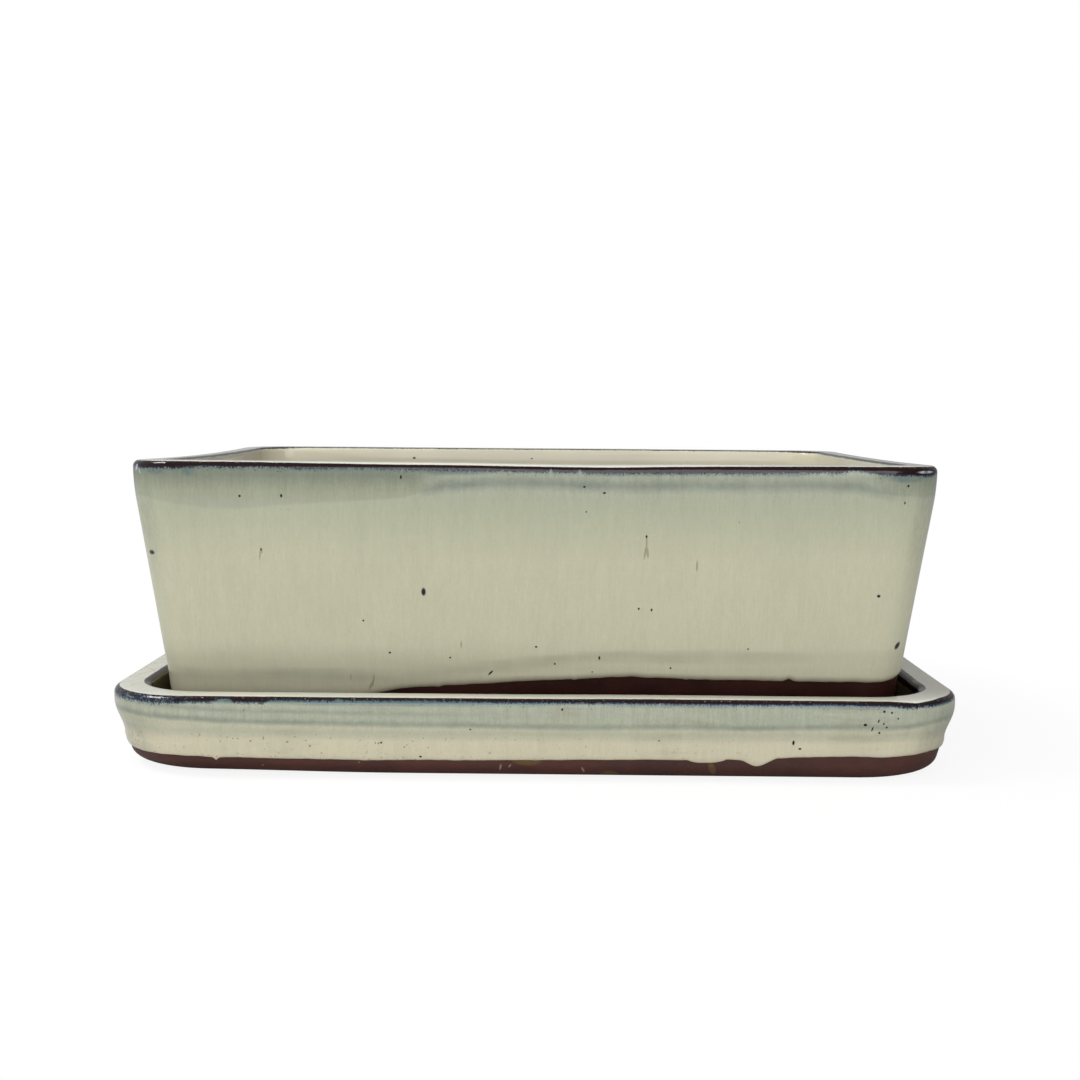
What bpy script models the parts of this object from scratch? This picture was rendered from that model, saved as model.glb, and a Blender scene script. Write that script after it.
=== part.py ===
"""Rectangular bonsai pot of glazed stoneware, standing in its matching drip tray.

Pot and tray are two fired pieces. Each is a clay body under a coat of glaze, and the coat ends above the foot in a
wavy run edge with a few drips. Lengths are in metres, +Z is up, and the origin lies on the table under the middle
of the tray. The pot's length runs along X, and its front looks along -Y.
"""
import math

import bmesh
import bpy

# Pot, measured over its glaze
POT_LENGTH = 0.305
POT_DEPTH = 0.235
POT_HEIGHT = 0.1067
POT_CORNER_AT_RIM = 0.020
POT_CORNER_AT_FOOT = 0.014
POT_TAPER = 0.1416
POT_LIP_BAND = 0.0085
POT_LIP_BLEND = 0.0070
POT_RIM_WIDTH = 0.0115
POT_RIM_ROUND = 0.0025
POT_WALL = 0.0100
POT_INNER_CORNER = 0.014
POT_FLOOR = 0.009
POT_INNER_FILLET = 0.010

# Feet and holes of the pot
FOOT_HEIGHT = 0.009
FOOT_WALL = 0.013
FOOT_LEG_LONG = 0.052
FOOT_LEG_SHORT = 0.044
FOOT_ARCH_HEIGHT = 0.0075
FOOT_ARCH_ROUND = 0.0060
FOOT_EDGE_ROUND = 0.0012
DRAIN_DIAMETER = 0.024
DRAIN_SPACING = 0.132
WIRE_HOLE_DIAMETER = 0.005
WIRE_HOLE_SPACING_LONG = 0.190
WIRE_HOLE_SPACING_SHORT = 0.110

# Glaze coat, and where it stops on each piece
GLAZE_THICKNESS = 0.0012
GLAZE_ROLL = 0.0004
GLAZE_ROLL_HEIGHT = 0.0035
POT_BARE_HEIGHT = 0.0222
POT_GLAZED_INSIDE = 0.024
TRAY_BARE_HEIGHT = 0.0068
RUN_WAVE = 0.0008
POT_RUN_RISE = 0.0015
TRAY_RUN_RISE = 0.0030
RUN_RISE_REACH = 0.20

# Tray: its basin follows the pot's wall, and its outside follows its basin
TRAY_HEIGHT = 0.0305
TRAY_GUTTER = 0.0079
TRAY_RIM_WIDTH = 0.0126
TRAY_RIM_ROUND = 0.0028
TRAY_CORNER = 0.031
TRAY_INNER_CORNER = 0.024
TRAY_BASIN_FLOOR = 0.0098
TRAY_BASIN_DRAFT = 0.08
TRAY_BASIN_FILLET = 0.006
TRAY_LIP_BAND = 0.0050
TRAY_NECK_DEPTH = 0.0190
TRAY_NECK_INSET = 0.0030
TRAY_BELLY_SLOPE = 0.22
TRAY_BASE_ROUND = 0.0050

# Clearances between pieces that touch
GLAZE_CLEARANCE = 0.0003
SEAT_CLEARANCE = 0.0003

# Drips of the run edges: side, place along its straight part from -1 to 1, half width and drop.
# Sides 0 to 3 are front, right, back and left, each walked anticlockwise.
POT_DRIPS = (
    (0, -0.62, 0.0080, 0.0030),
    (1, -0.55, 0.0060, 0.0022),
    (2, 0.50, 0.0080, 0.0026),
    (3, 0.45, 0.0070, 0.0020),
)
TRAY_DRIPS = (
    (0, -0.90, 0.0035, 0.0014),
    (0, 0.46, 0.0060, 0.0014),
    (0, 0.62, 0.0042, 0.0026),
    (1, 0.30, 0.0050, 0.0020),
    (2, -0.40, 0.0050, 0.0022),
    (3, -0.40, 0.0045, 0.0016),
)

# Fineness of the lofts
CORNER_STEPS = 5
LONG_SIDE_STEPS = 8
SHORT_SIDE_STEPS = 6
ROUND_STEPS = 3
LIP_STEPS = 5
HOLE_SIDES = 24
SMALLEST_CORNER = 0.0015
CUTTER_REACH = 0.010
SMOOTH_ANGLE = math.radians(40)

# Colours and finishes: base colour, roughness
CREAM_GLAZE = (0.50, 0.49, 0.36), 0.12
RED_CLAY = (0.075, 0.035, 0.024), 0.65

COAT_BACK = GLAZE_THICKNESS + GLAZE_CLEARANCE
POT_RIM_LEVEL = TRAY_BASIN_FLOOR + SEAT_CLEARANCE + POT_HEIGHT
POT_FOOT_LEVEL = POT_RIM_LEVEL - POT_HEIGHT


def clear_scene():
    for item in list(bpy.data.objects):
        bpy.data.objects.remove(item, do_unlink=True)


def new_collection(name):
    collection = bpy.data.collections.new(name)
    bpy.context.scene.collection.children.link(collection)
    return collection


def new_material(name, colour, roughness):
    material = bpy.data.materials.new(name)
    material.use_nodes = True
    shader = material.node_tree.nodes["Principled BSDF"]
    shader.inputs["Base Color"].default_value = (*colour, 1.0)
    shader.inputs["Roughness"].default_value = roughness
    shader.inputs["Metallic"].default_value = 0.0
    return material


def add_object(name, mesh, collection, material=None):
    data = bpy.data.meshes.new(name)
    mesh.to_mesh(data)
    mesh.free()
    data.shade_smooth()
    data.set_sharp_from_angle(angle=SMOOTH_ANGLE)
    item = bpy.data.objects.new(name, data)
    collection.objects.link(item)
    if material:
        data.materials.append(material)
    return item


# Plan outlines: a rounded rectangle is walked anticlockwise through the same stations at every level

def side_fractions(steps, half_straight, drips):
    """Places along a side from -1 to 1: even steps, with five closer ones across each drip."""
    places = [2 * k / steps - 1 for k in range(steps + 1)]
    for centre, half_width in drips:
        reach = 2 * half_width / half_straight
        places = [place for place in places if abs(place) == 1 or abs(place - centre) > 1.3 * reach]
        places += [centre + reach * step for step in (-1, -0.5, 0, 0.5, 1)]
    return sorted(place for place in places if abs(place) <= 1)


def walk(half_length, half_depth, corner, drips=()):
    """Stations round a rounded rectangle: side, fraction along it, and turn of the corner that ends it."""
    stations = []
    for side in range(4):
        half_straight = (half_depth if side % 2 else half_length) - corner
        steps = SHORT_SIDE_STEPS if side % 2 else LONG_SIDE_STEPS
        own = [(place, half_width) for where, place, half_width, drop in drips if where == side]
        stations += [(side, fraction, 0.0) for fraction in side_fractions(steps, half_straight, own)]
        stations += [(side, 1.0, math.pi / 2 * k / CORNER_STEPS) for k in range(1, CORNER_STEPS)]
    return stations


def spot(station, half_length, half_depth, corner):
    """Where a station lies on a rounded rectangle of this size."""
    side, fraction, turn = station
    half_along, half_out = (half_depth, half_length) if side % 2 else (half_length, half_depth)
    along = fraction * (half_along - corner) + corner * math.sin(turn)
    out = half_out - corner + corner * math.cos(turn)
    return ((along, -out), (out, along), (-along, out), (-out, -along))[side]


def ring(stations, section, depths, shift, rim_level):
    """Points of one level: depths is one depth below the rim, or a list with one for each station."""
    if not isinstance(depths, list):
        depths = [depths] * len(stations)
    points = []
    for station, depth in zip(stations, depths):
        x, y = spot(station, *section(depth, shift))
        points.append((x, y, rim_level - depth))
    return points


def loft(rings, closed=False):
    """A skin through rings of matching points: closed on itself, or with a flat cap at each end."""
    mesh = bmesh.new()
    loops = [[mesh.verts.new(point) for point in points] for points in rings]
    pairs = list(zip(loops, loops[1:]))
    if closed:
        pairs.append((loops[-1], loops[0]))
    else:
        mesh.faces.new(loops[0])
        mesh.faces.new(loops[-1])
    for lower, upper in pairs:
        for k in range(len(lower)):
            following = (k + 1) % len(lower)
            mesh.faces.new((lower[k], lower[following], upper[following], upper[k]))
    bmesh.ops.recalc_face_normals(mesh, faces=mesh.faces)
    return mesh


# Sections: half length, half depth and corner radius at a depth below the rim.
# The shift goes into the wall, away from the face that the section describes.

def pot_inset(depth):
    """How far the pot's outside has drawn in: an upright lip that blends into the straight taper."""
    start, end = POT_LIP_BAND - POT_LIP_BLEND, POT_LIP_BAND + POT_LIP_BLEND
    if depth <= start:
        return 0.0
    if depth < end:
        return POT_TAPER * (depth - start) ** 2 / (2 * (end - start))
    return POT_TAPER * (depth - POT_LIP_BAND)


def pot_outside(depth, shift=0.0):
    inset = pot_inset(depth) + shift
    corner = POT_CORNER_AT_RIM + (POT_CORNER_AT_FOOT - POT_CORNER_AT_RIM) * depth / POT_HEIGHT
    return POT_LENGTH / 2 - inset, POT_DEPTH / 2 - inset, max(corner - shift, SMALLEST_CORNER)


def pot_inside(depth, shift=0.0):
    """The inside drops upright from the rim, then follows the outside at the wall's thickness."""
    inset = max(POT_RIM_WIDTH, pot_inset(depth) + POT_WALL) - shift
    return POT_LENGTH / 2 - inset, POT_DEPTH / 2 - inset, max(POT_INNER_CORNER + shift, SMALLEST_CORNER)


def tray_inside(depth, shift=0.0):
    """The basin leaves a gutter all round the pot, as wide as that at the level of the tray's rim."""
    pot_half_length, pot_half_depth, _ = pot_outside(POT_RIM_LEVEL - TRAY_HEIGHT)
    spread = TRAY_GUTTER - TRAY_BASIN_DRAFT * depth + shift
    corner = max(TRAY_INNER_CORNER + shift, SMALLEST_CORNER)
    return pot_half_length + spread, pot_half_depth + spread, corner


def tray_inset(depth):
    """How far the tray's outside has drawn in: a full lip, a neck, a sloping belly and a rounded base."""
    if depth <= TRAY_NECK_DEPTH:
        sweep = max(depth - TRAY_LIP_BAND, 0.0) / (TRAY_NECK_DEPTH - TRAY_LIP_BAND)
        return TRAY_NECK_INSET * (1 - math.cos(math.pi * sweep)) / 2
    inset = TRAY_NECK_INSET + TRAY_BELLY_SLOPE * (depth - TRAY_NECK_DEPTH)
    below = depth - (TRAY_HEIGHT - TRAY_BASE_ROUND)
    if below > 0:
        inset += TRAY_BASE_ROUND - math.sqrt(max(TRAY_BASE_ROUND ** 2 - below ** 2, 0.0))
    return inset


def tray_outside(depth, shift=0.0):
    half_length, half_depth, _ = tray_inside(0.0)
    outset = TRAY_RIM_WIDTH - tray_inset(depth) - shift
    return half_length + outset, half_depth + outset, max(TRAY_CORNER - shift, SMALLEST_CORNER)


def quarter_round(radius, steps):
    """Shift into the wall and depth below the top, from a side face up round its edge to the top face."""
    turns = [math.pi / 2 * k / steps for k in range(steps + 1)]
    return [(radius * (1 - math.cos(turn)), radius * (1 - math.sin(turn))) for turn in turns]


def run_edge(stations, section, level, rise, drips, phase):
    """Depth of the glaze's end at each station: a slow wave, raised round the corners, lowered at a drip."""
    depths = []
    half_length, half_depth, corner = section(level)
    for station in stations:
        side, fraction, _ = station
        x, y = spot(station, half_length, half_depth, corner)
        turn = math.atan2(y * half_length / half_depth, x)
        depth = level + RUN_WAVE * (math.sin(3 * turn + phase) + 0.5 * math.sin(7 * turn + 2 * phase))
        near_corner = max(0.0, (abs(fraction) - 1) / RUN_RISE_REACH + 1)
        depth -= rise * (1 - math.cos(math.pi * near_corner)) / 2
        half_straight = (half_depth if side % 2 else half_length) - corner
        for where, place, half_width, drop in drips:
            away = abs(fraction - place) * half_straight / (2 * half_width)
            if where == side and away < 1:
                depth += drop * (1 + math.cos(math.pi * away)) / 2
        depths.append(depth)
    return depths


def raised(depths, height):
    return [depth - height for depth in depths]


def up_to(depths, level):
    """Even steps from these depths up to one level, which is left out."""
    shares = [k / (LIP_STEPS + 1) for k in range(1, LIP_STEPS + 1)]
    return [[depth + (level - depth) * share for depth in depths] for share in shares]


# Clay bodies

def rim_rings(stations, outside, inside, round_radius, steps, shift, rim_level):
    """Rings over a rim, from below its outer edge to below its inner edge."""
    rows = quarter_round(round_radius, steps)
    outer = [ring(stations, outside, depth + shift, into + shift, rim_level) for into, depth in rows]
    inner = [ring(stations, inside, depth + shift, into + shift, rim_level) for into, depth in reversed(rows)]
    return outer + inner


def fillet_rings(stations, inside, floor_depth, radius, shift, rim_level):
    """Rings down the last of an inner wall and round its fillet onto the floor."""
    return [
        ring(stations, inside, floor_depth - above + shift, shift - away, rim_level)
        for away, above in quarter_round(radius, ROUND_STEPS)
    ]


def pot_body_mesh():
    """Clay of the pot before its underside and holes are cut: outside, rim, inside and floor."""
    stations = walk(POT_LENGTH / 2, POT_DEPTH / 2, POT_CORNER_AT_RIM)
    foot = ring(stations, pot_outside, POT_HEIGHT, COAT_BACK + FOOT_EDGE_ROUND, POT_RIM_LEVEL)
    outside = [
        ring(stations, pot_outside, depth, COAT_BACK, POT_RIM_LEVEL)
        for depth in (POT_HEIGHT - FOOT_EDGE_ROUND, POT_LIP_BAND + POT_LIP_BLEND, POT_LIP_BAND)
    ]
    rim = rim_rings(stations, pot_outside, pot_inside, POT_RIM_ROUND, 1, COAT_BACK, POT_RIM_LEVEL)
    inside = ring(stations, pot_inside, POT_GLAZED_INSIDE, COAT_BACK, POT_RIM_LEVEL)
    floor_depth = POT_HEIGHT - FOOT_HEIGHT - POT_FLOOR - COAT_BACK
    floor = fillet_rings(stations, pot_inside, floor_depth, POT_INNER_FILLET, COAT_BACK, POT_RIM_LEVEL)
    return loft([foot, *outside, *rim, inside, *floor])


def tray_body_mesh():
    """Clay of the tray: flat underside, rounded base, belly, neck, lip, rim and basin."""
    stations = walk(*tray_outside(0.0))
    base = [
        ring(stations, tray_outside, TRAY_HEIGHT - depth, COAT_BACK, TRAY_HEIGHT)
        for into, depth in reversed(quarter_round(TRAY_BASE_ROUND, ROUND_STEPS))
    ]
    neck = [TRAY_NECK_DEPTH] * len(stations)
    outside = [
        ring(stations, tray_outside, depths, COAT_BACK, TRAY_HEIGHT)
        for depths in (neck, *up_to(neck, TRAY_RIM_ROUND))
    ]
    rim = rim_rings(stations, tray_outside, tray_inside, TRAY_RIM_ROUND, 1, COAT_BACK, TRAY_HEIGHT)
    floor_depth = TRAY_HEIGHT - TRAY_BASIN_FLOOR
    floor = fillet_rings(stations, tray_inside, floor_depth, TRAY_BASIN_FILLET, COAT_BACK, TRAY_HEIGHT)
    return loft([*base, *outside, *rim, *floor])


# Glaze coats

def pot_glaze_mesh():
    """Coat of the pot: up the outside from the run edge, over the rim, part of the way down the inside."""
    stations = walk(POT_LENGTH / 2, POT_DEPTH / 2, POT_CORNER_AT_RIM, POT_DRIPS)
    edge = run_edge(stations, pot_outside, POT_HEIGHT - POT_BARE_HEIGHT, POT_RUN_RISE, POT_DRIPS, 0.6)
    inner_edge = run_edge(stations, pot_inside, POT_GLAZED_INSIDE, 0.0, (), 2.1)
    lip = (POT_LIP_BAND + POT_LIP_BLEND, POT_LIP_BAND)
    face = [
        ring(stations, pot_outside, edge, GLAZE_THICKNESS / 2, POT_RIM_LEVEL),
        ring(stations, pot_outside, raised(edge, GLAZE_ROLL_HEIGHT / 3), -GLAZE_ROLL, POT_RIM_LEVEL),
        ring(stations, pot_outside, raised(edge, GLAZE_ROLL_HEIGHT), 0.0, POT_RIM_LEVEL),
    ]
    face += [ring(stations, pot_outside, depth, 0.0, POT_RIM_LEVEL) for depth in lip]
    face += rim_rings(stations, pot_outside, pot_inside, POT_RIM_ROUND, ROUND_STEPS, 0.0, POT_RIM_LEVEL)
    face.append(ring(stations, pot_inside, inner_edge, 0.0, POT_RIM_LEVEL))
    back = [ring(stations, pot_outside, edge, GLAZE_THICKNESS, POT_RIM_LEVEL)]
    back += [ring(stations, pot_outside, depth, GLAZE_THICKNESS, POT_RIM_LEVEL) for depth in lip]
    back += rim_rings(stations, pot_outside, pot_inside, POT_RIM_ROUND, 1, GLAZE_THICKNESS, POT_RIM_LEVEL)
    back.append(ring(stations, pot_inside, inner_edge, GLAZE_THICKNESS, POT_RIM_LEVEL))
    return loft(face + back[::-1], closed=True)


def tray_glaze_mesh():
    """Coat of the tray: up the outside from the run edge, over the lip and all over the basin."""
    stations = walk(*tray_outside(0.0), TRAY_DRIPS)
    bare_from = TRAY_HEIGHT - TRAY_BARE_HEIGHT
    edge = run_edge(stations, tray_outside, bare_from, TRAY_RUN_RISE, TRAY_DRIPS, 1.7)
    full_from = raised(edge, GLAZE_ROLL_HEIGHT)
    lip = up_to(full_from, TRAY_RIM_ROUND)
    floor_depth = TRAY_HEIGHT - TRAY_BASIN_FLOOR
    face = [
        ring(stations, tray_outside, edge, GLAZE_THICKNESS / 2, TRAY_HEIGHT),
        ring(stations, tray_outside, raised(edge, GLAZE_ROLL_HEIGHT / 3), -GLAZE_ROLL, TRAY_HEIGHT),
        ring(stations, tray_outside, full_from, 0.0, TRAY_HEIGHT),
    ]
    face += [ring(stations, tray_outside, depths, 0.0, TRAY_HEIGHT) for depths in lip]
    face += rim_rings(stations, tray_outside, tray_inside, TRAY_RIM_ROUND, ROUND_STEPS, 0.0, TRAY_HEIGHT)
    face += fillet_rings(stations, tray_inside, floor_depth, TRAY_BASIN_FILLET, 0.0, TRAY_HEIGHT)
    back = [
        ring(stations, tray_outside, edge, GLAZE_THICKNESS, TRAY_HEIGHT),
        ring(stations, tray_outside, full_from, GLAZE_THICKNESS, TRAY_HEIGHT),
    ]
    back += [ring(stations, tray_outside, depths, GLAZE_THICKNESS, TRAY_HEIGHT) for depths in lip]
    back += rim_rings(stations, tray_outside, tray_inside, TRAY_RIM_ROUND, 1, GLAZE_THICKNESS, TRAY_HEIGHT)
    back += fillet_rings(
        stations, tray_inside, floor_depth, TRAY_BASIN_FILLET, GLAZE_THICKNESS, TRAY_HEIGHT
    )
    return loft(face[::-1] + back)


# Cutters for the pot's underside and holes

def block(half_x, half_y, low, high):
    mesh = bmesh.new()
    bmesh.ops.create_cube(mesh, size=1.0)
    bmesh.ops.scale(mesh, vec=(2 * half_x, 2 * half_y, high - low), verts=mesh.verts)
    bmesh.ops.translate(mesh, vec=(0, 0, (low + high) / 2), verts=mesh.verts)
    return mesh


def round_edges(mesh, chosen, radius):
    bmesh.ops.bevel(
        mesh, geom=chosen, offset=radius, segments=ROUND_STEPS, affect="EDGES", profile=0.5, material=-1
    )


def underside_cutter(cutters):
    """The recess inside the foot ring."""
    half_length, half_depth, corner = pot_outside(POT_HEIGHT, FOOT_WALL)
    mesh = block(half_length, half_depth, POT_FOOT_LEVEL - CUTTER_REACH, POT_FOOT_LEVEL + FOOT_HEIGHT)
    upright = [edge for edge in mesh.edges if abs(edge.verts[0].co.z - edge.verts[1].co.z) > FOOT_HEIGHT]
    round_edges(mesh, upright, max(corner, 2 * SMALLEST_CORNER))
    return add_object("underside_cutter", mesh, cutters)


def arch_cutter(cutters, along_x):
    """The flat arch that parts the feet on two facing sides of the foot ring."""
    half_length, half_depth, _ = pot_outside(POT_HEIGHT)
    if along_x:
        half_x, half_y = half_length - FOOT_LEG_LONG, half_depth + CUTTER_REACH
    else:
        half_x, half_y = half_length + CUTTER_REACH, half_depth - FOOT_LEG_SHORT
    top = POT_FOOT_LEVEL + FOOT_ARCH_HEIGHT
    mesh = block(half_x, half_y, POT_FOOT_LEVEL - CUTTER_REACH, top)
    through = 1 if along_x else 0
    chosen = []
    for edge in mesh.edges:
        start, end = (vertex.co for vertex in edge.verts)
        if min(start.z, end.z) > POT_FOOT_LEVEL and abs(start[through] - end[through]) > CUTTER_REACH:
            chosen.append(edge)
    round_edges(mesh, chosen, FOOT_ARCH_ROUND)
    return add_object("arch_cutter_long" if along_x else "arch_cutter_short", mesh, cutters)


def hole_cutter(cutters, name, diameter, x, y):
    floor_top = POT_FOOT_LEVEL + FOOT_HEIGHT + POT_FLOOR
    mesh = bmesh.new()
    bmesh.ops.create_cone(
        mesh, cap_ends=True, segments=HOLE_SIDES, radius1=diameter / 2, radius2=diameter / 2,
        depth=floor_top - POT_FOOT_LEVEL + 2 * CUTTER_REACH
    )
    bmesh.ops.translate(mesh, vec=(x, y, (floor_top + POT_FOOT_LEVEL) / 2), verts=mesh.verts)
    return add_object(name, mesh, cutters)


def hole_cutters(cutters):
    made = []
    for side, sign in (("left", -1), ("right", 1)):
        made.append(hole_cutter(cutters, f"drain_cutter_{side}", DRAIN_DIAMETER, sign * DRAIN_SPACING / 2, 0.0))
        for end, back in (("front", -1), ("rear", 1)):
            x, y = sign * WIRE_HOLE_SPACING_LONG / 2, back * WIRE_HOLE_SPACING_SHORT / 2
            made.append(hole_cutter(cutters, f"wire_cutter_{side}_{end}", WIRE_HOLE_DIAMETER, x, y))
    return made


def cut(item, cutters):
    for cutter in cutters:
        cutter.hide_render = True
        cutter.display_type = "WIRE"
        modifier = item.modifiers.new(cutter.name, "BOOLEAN")
        modifier.operation = "DIFFERENCE"
        modifier.solver = "EXACT"
        modifier.object = cutter


def build():
    clear_scene()
    parts = new_collection("bonsai_pot")
    cutters = new_collection("cutters")
    pot_glaze = new_material("pot_glaze", *CREAM_GLAZE)
    pot_clay = new_material("pot_clay", *RED_CLAY)
    tray_glaze = new_material("tray_glaze", *CREAM_GLAZE)
    tray_clay = new_material("tray_clay", *RED_CLAY)
    add_object("tray_body", tray_body_mesh(), parts, tray_clay)
    add_object("tray_glaze", tray_glaze_mesh(), parts, tray_glaze)
    pot = add_object("pot_body", pot_body_mesh(), parts, pot_clay)
    underside = [underside_cutter(cutters), arch_cutter(cutters, True), arch_cutter(cutters, False)]
    cut(pot, underside + hole_cutters(cutters))
    add_object("pot_glaze", pot_glaze_mesh(), parts, pot_glaze)


build()
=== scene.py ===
"""Models and glazes a rectangular bonsai pot that stands in its drip tray.

Pot and tray are each a clay body under a coat of cream glaze. The glaze breaks to brown and navy over the
rims, and ends above the foot in a wavy run edge with drips. Lengths are in metres where nothing else is said,
+Z is up, the front looks along -Y, and the origin lies on the table under the middle of the tray.
"""

import math

import bmesh
import bpy
from mathutils import Matrix, Vector, noise


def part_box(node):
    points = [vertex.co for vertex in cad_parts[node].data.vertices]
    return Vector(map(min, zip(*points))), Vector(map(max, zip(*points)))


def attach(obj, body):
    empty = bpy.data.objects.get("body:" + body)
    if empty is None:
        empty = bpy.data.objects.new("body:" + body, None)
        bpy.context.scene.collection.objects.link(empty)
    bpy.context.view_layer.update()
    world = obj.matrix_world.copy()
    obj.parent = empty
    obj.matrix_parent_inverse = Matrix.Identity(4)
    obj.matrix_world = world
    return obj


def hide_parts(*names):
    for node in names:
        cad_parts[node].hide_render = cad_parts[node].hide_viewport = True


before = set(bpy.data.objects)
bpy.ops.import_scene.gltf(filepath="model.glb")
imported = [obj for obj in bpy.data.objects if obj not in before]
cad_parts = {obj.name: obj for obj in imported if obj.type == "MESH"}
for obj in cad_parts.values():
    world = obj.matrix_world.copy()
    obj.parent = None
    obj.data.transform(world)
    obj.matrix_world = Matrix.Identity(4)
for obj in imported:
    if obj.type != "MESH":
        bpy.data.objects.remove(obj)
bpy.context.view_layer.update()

bl_info = {
    "name": "Glazed Bonsai Pot",
    "version": (1, 0, 0),
    "blender": (4, 5, 0),
    "location": "3D View > Sidebar > Bonsai Pot",
    "description": "Models and glazes a rectangular bonsai pot and its drip tray",
    "category": "Object",
}

POT_LOW, POT_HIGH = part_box("pot_glaze")
FOOT_LOW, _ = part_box("pot_body")
TRAY_LOW, TRAY_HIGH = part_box("tray_glaze")

FRONT, RIGHT, BACK, LEFT = range(4)
MM = 0.001


def linear(red, green, blue):
    """A colour given in 8-bit sRGB, as linear light."""
    shares = (value / 255 for value in (red, green, blue))
    return tuple(share / 12.92 if share <= 0.04045 else ((share + 0.055) / 1.055) ** 2.4 for share in shares)


def length(name, description, default):
    return bpy.props.FloatProperty(
        name=name, description=description, default=default, min=0.0, precision=4, unit="LENGTH"
    )


def number(name, description, default):
    return bpy.props.FloatProperty(name=name, description=description, default=default, min=0.0)


def tint(name, description, red, green, blue):
    return bpy.props.FloatVectorProperty(
        name=name, description=description, default=linear(red, green, blue), size=3, min=0.0, max=1.0,
        subtype="COLOR"
    )


# Sizes and colours that a user would change


class PotSizes(bpy.types.PropertyGroup):
    length: length("Length", "Outside length over the rim", POT_HIGH.x - POT_LOW.x)
    depth: length("Depth", "Outside depth over the rim", POT_HIGH.y - POT_LOW.y)
    rim_level: length("Rim level", "Height of the rim above the table", POT_HIGH.z)
    foot_level: length("Foot level", "Height of the feet above the table", FOOT_LOW.z)
    corner_at_rim: length("Corner at rim", "Plan radius of the corners at the rim", 0.020)
    corner_at_foot: length("Corner at foot", "Plan radius of the corners at the foot", 0.014)
    taper: number("Taper", "How far a wall draws in for each unit of height", 0.1416)
    lip_band: length("Lip band", "Depth of the upright band under the rim", 0.0085)
    lip_blend: length("Lip blend", "Half height of the curve from the band into the taper", 0.0070)
    rim_width: length("Rim width", "Width of the rim", 0.0115)
    rim_round: length("Rim rounding", "Radius of the rim's edges", 0.0025)
    rim_crown: length("Rim crown", "Rise of the rim's middle over its edges", 0.0001)
    front_sag: length("Front sag", "How far the front rim sags in the middle", 0.0003)
    front_dip: length("Front dip", "Depth of the small dip right of the front rim's middle", 0.0005)
    side_sag: length("Side sag", "How far the short sides of the rim sag in the middle", 0.0011)
    rim_fall: length("Rim fall", "How far the rim falls from front to back", 0.0008)
    line_drop: length("Line drop", "How far below the rim's outer round the break line starts", 0.0004)
    groove: length("Groove", "Depth of the throwing groove above the foot at the front left", 0.0006)
    hollow: length("Hollow", "How far the walls draw in at their middle", 0.0004)
    wall: length("Wall", "Wall thickness with glaze", 0.0100)
    inner_corner: length("Inner corner", "Plan radius of the corners inside", 0.014)
    floor: length("Floor", "Thickness of the floor", 0.009)
    inner_fillet: length("Inner fillet", "Radius where the walls meet the floor inside", 0.010)
    foot_height: length("Foot height", "Depth of the recess under the floor", 0.009)
    foot_wall: length("Foot wall", "Width of the foot ring", 0.013)
    foot_leg_long: length("Long leg", "Length of a foot along the long sides", 0.052)
    foot_leg_short: length("Short leg", "Length of a foot along the short sides", 0.044)
    arch_height: length("Arch height", "Height of the arches between the feet", 0.0075)
    arch_round: length("Arch rounding", "Length of an arch's rounded shoulder", 0.0070)
    foot_round: length("Foot rounding", "Radius of the feet's edges", 0.0012)
    drain_diameter: length("Drain hole", "Diameter of the two drain holes", 0.024)
    drain_spacing: length("Drain spacing", "Distance between the drain holes", 0.132)
    wire_diameter: length("Wire hole", "Diameter of the four wire holes", 0.005)
    wire_spacing_long: length("Wire spacing, long", "Distance between wire holes along the pot", 0.190)
    wire_spacing_short: length("Wire spacing, short", "Distance between wire holes across the pot", 0.110)
    glazed_inside: length("Glazed inside", "How far the glaze reaches down inside", 0.024)


class TraySizes(bpy.types.PropertyGroup):
    length: length("Length", "Outside length over the lip", TRAY_HIGH.x - TRAY_LOW.x)
    depth: length("Depth", "Outside depth over the lip", TRAY_HIGH.y - TRAY_LOW.y)
    height: length("Height", "Height of the rim above the table", TRAY_HIGH.z)
    rim_width: length("Rim width", "Width of the rim", 0.0126)
    rim_round: length("Rim rounding", "Radius of the rim's edges", 0.0028)
    rim_crown: length("Rim crown", "Rise of the rim's middle over its edges", 0.0001)
    corner: length("Corner", "Plan radius of the corners outside", 0.031)
    inner_corner: length("Inner corner", "Plan radius of the corners inside", 0.024)
    basin_floor: length("Basin floor", "Height of the basin's floor above the table", 0.0098)
    basin_draft: number("Basin draft", "How far the basin draws in for each unit of depth", 0.08)
    basin_fillet: length("Basin fillet", "Radius where the basin's walls meet its floor", 0.006)
    lip_band: length("Lip band", "Depth of the full lip below the rim", 0.0050)
    neck_depth: length("Neck depth", "Depth of the neck below the rim", 0.0190)
    neck_inset: length("Neck inset", "How far the neck draws in under the lip", 0.0030)
    belly_slope: number("Belly slope", "How far the belly draws in for each unit of depth", 0.22)
    base_round: length("Base rounding", "Radius of the base edge", 0.0050)
    base_margin: length("Base margin", "Width of the flat ring outside the underside's middle", 0.014)
    warp: length("Warp", "How far the rim's back corners lie off level", 0.0008)
    short_left: length("Short left end", "How far the left end stops short of the right one", 0.0009)
    front_rise: length("Front rise", "How far the right half of the front lip stands up", 0.0004)
    base_lift: length("Base lift", "How far the base edge lifts towards the front left corner", 0.0010)


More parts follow.
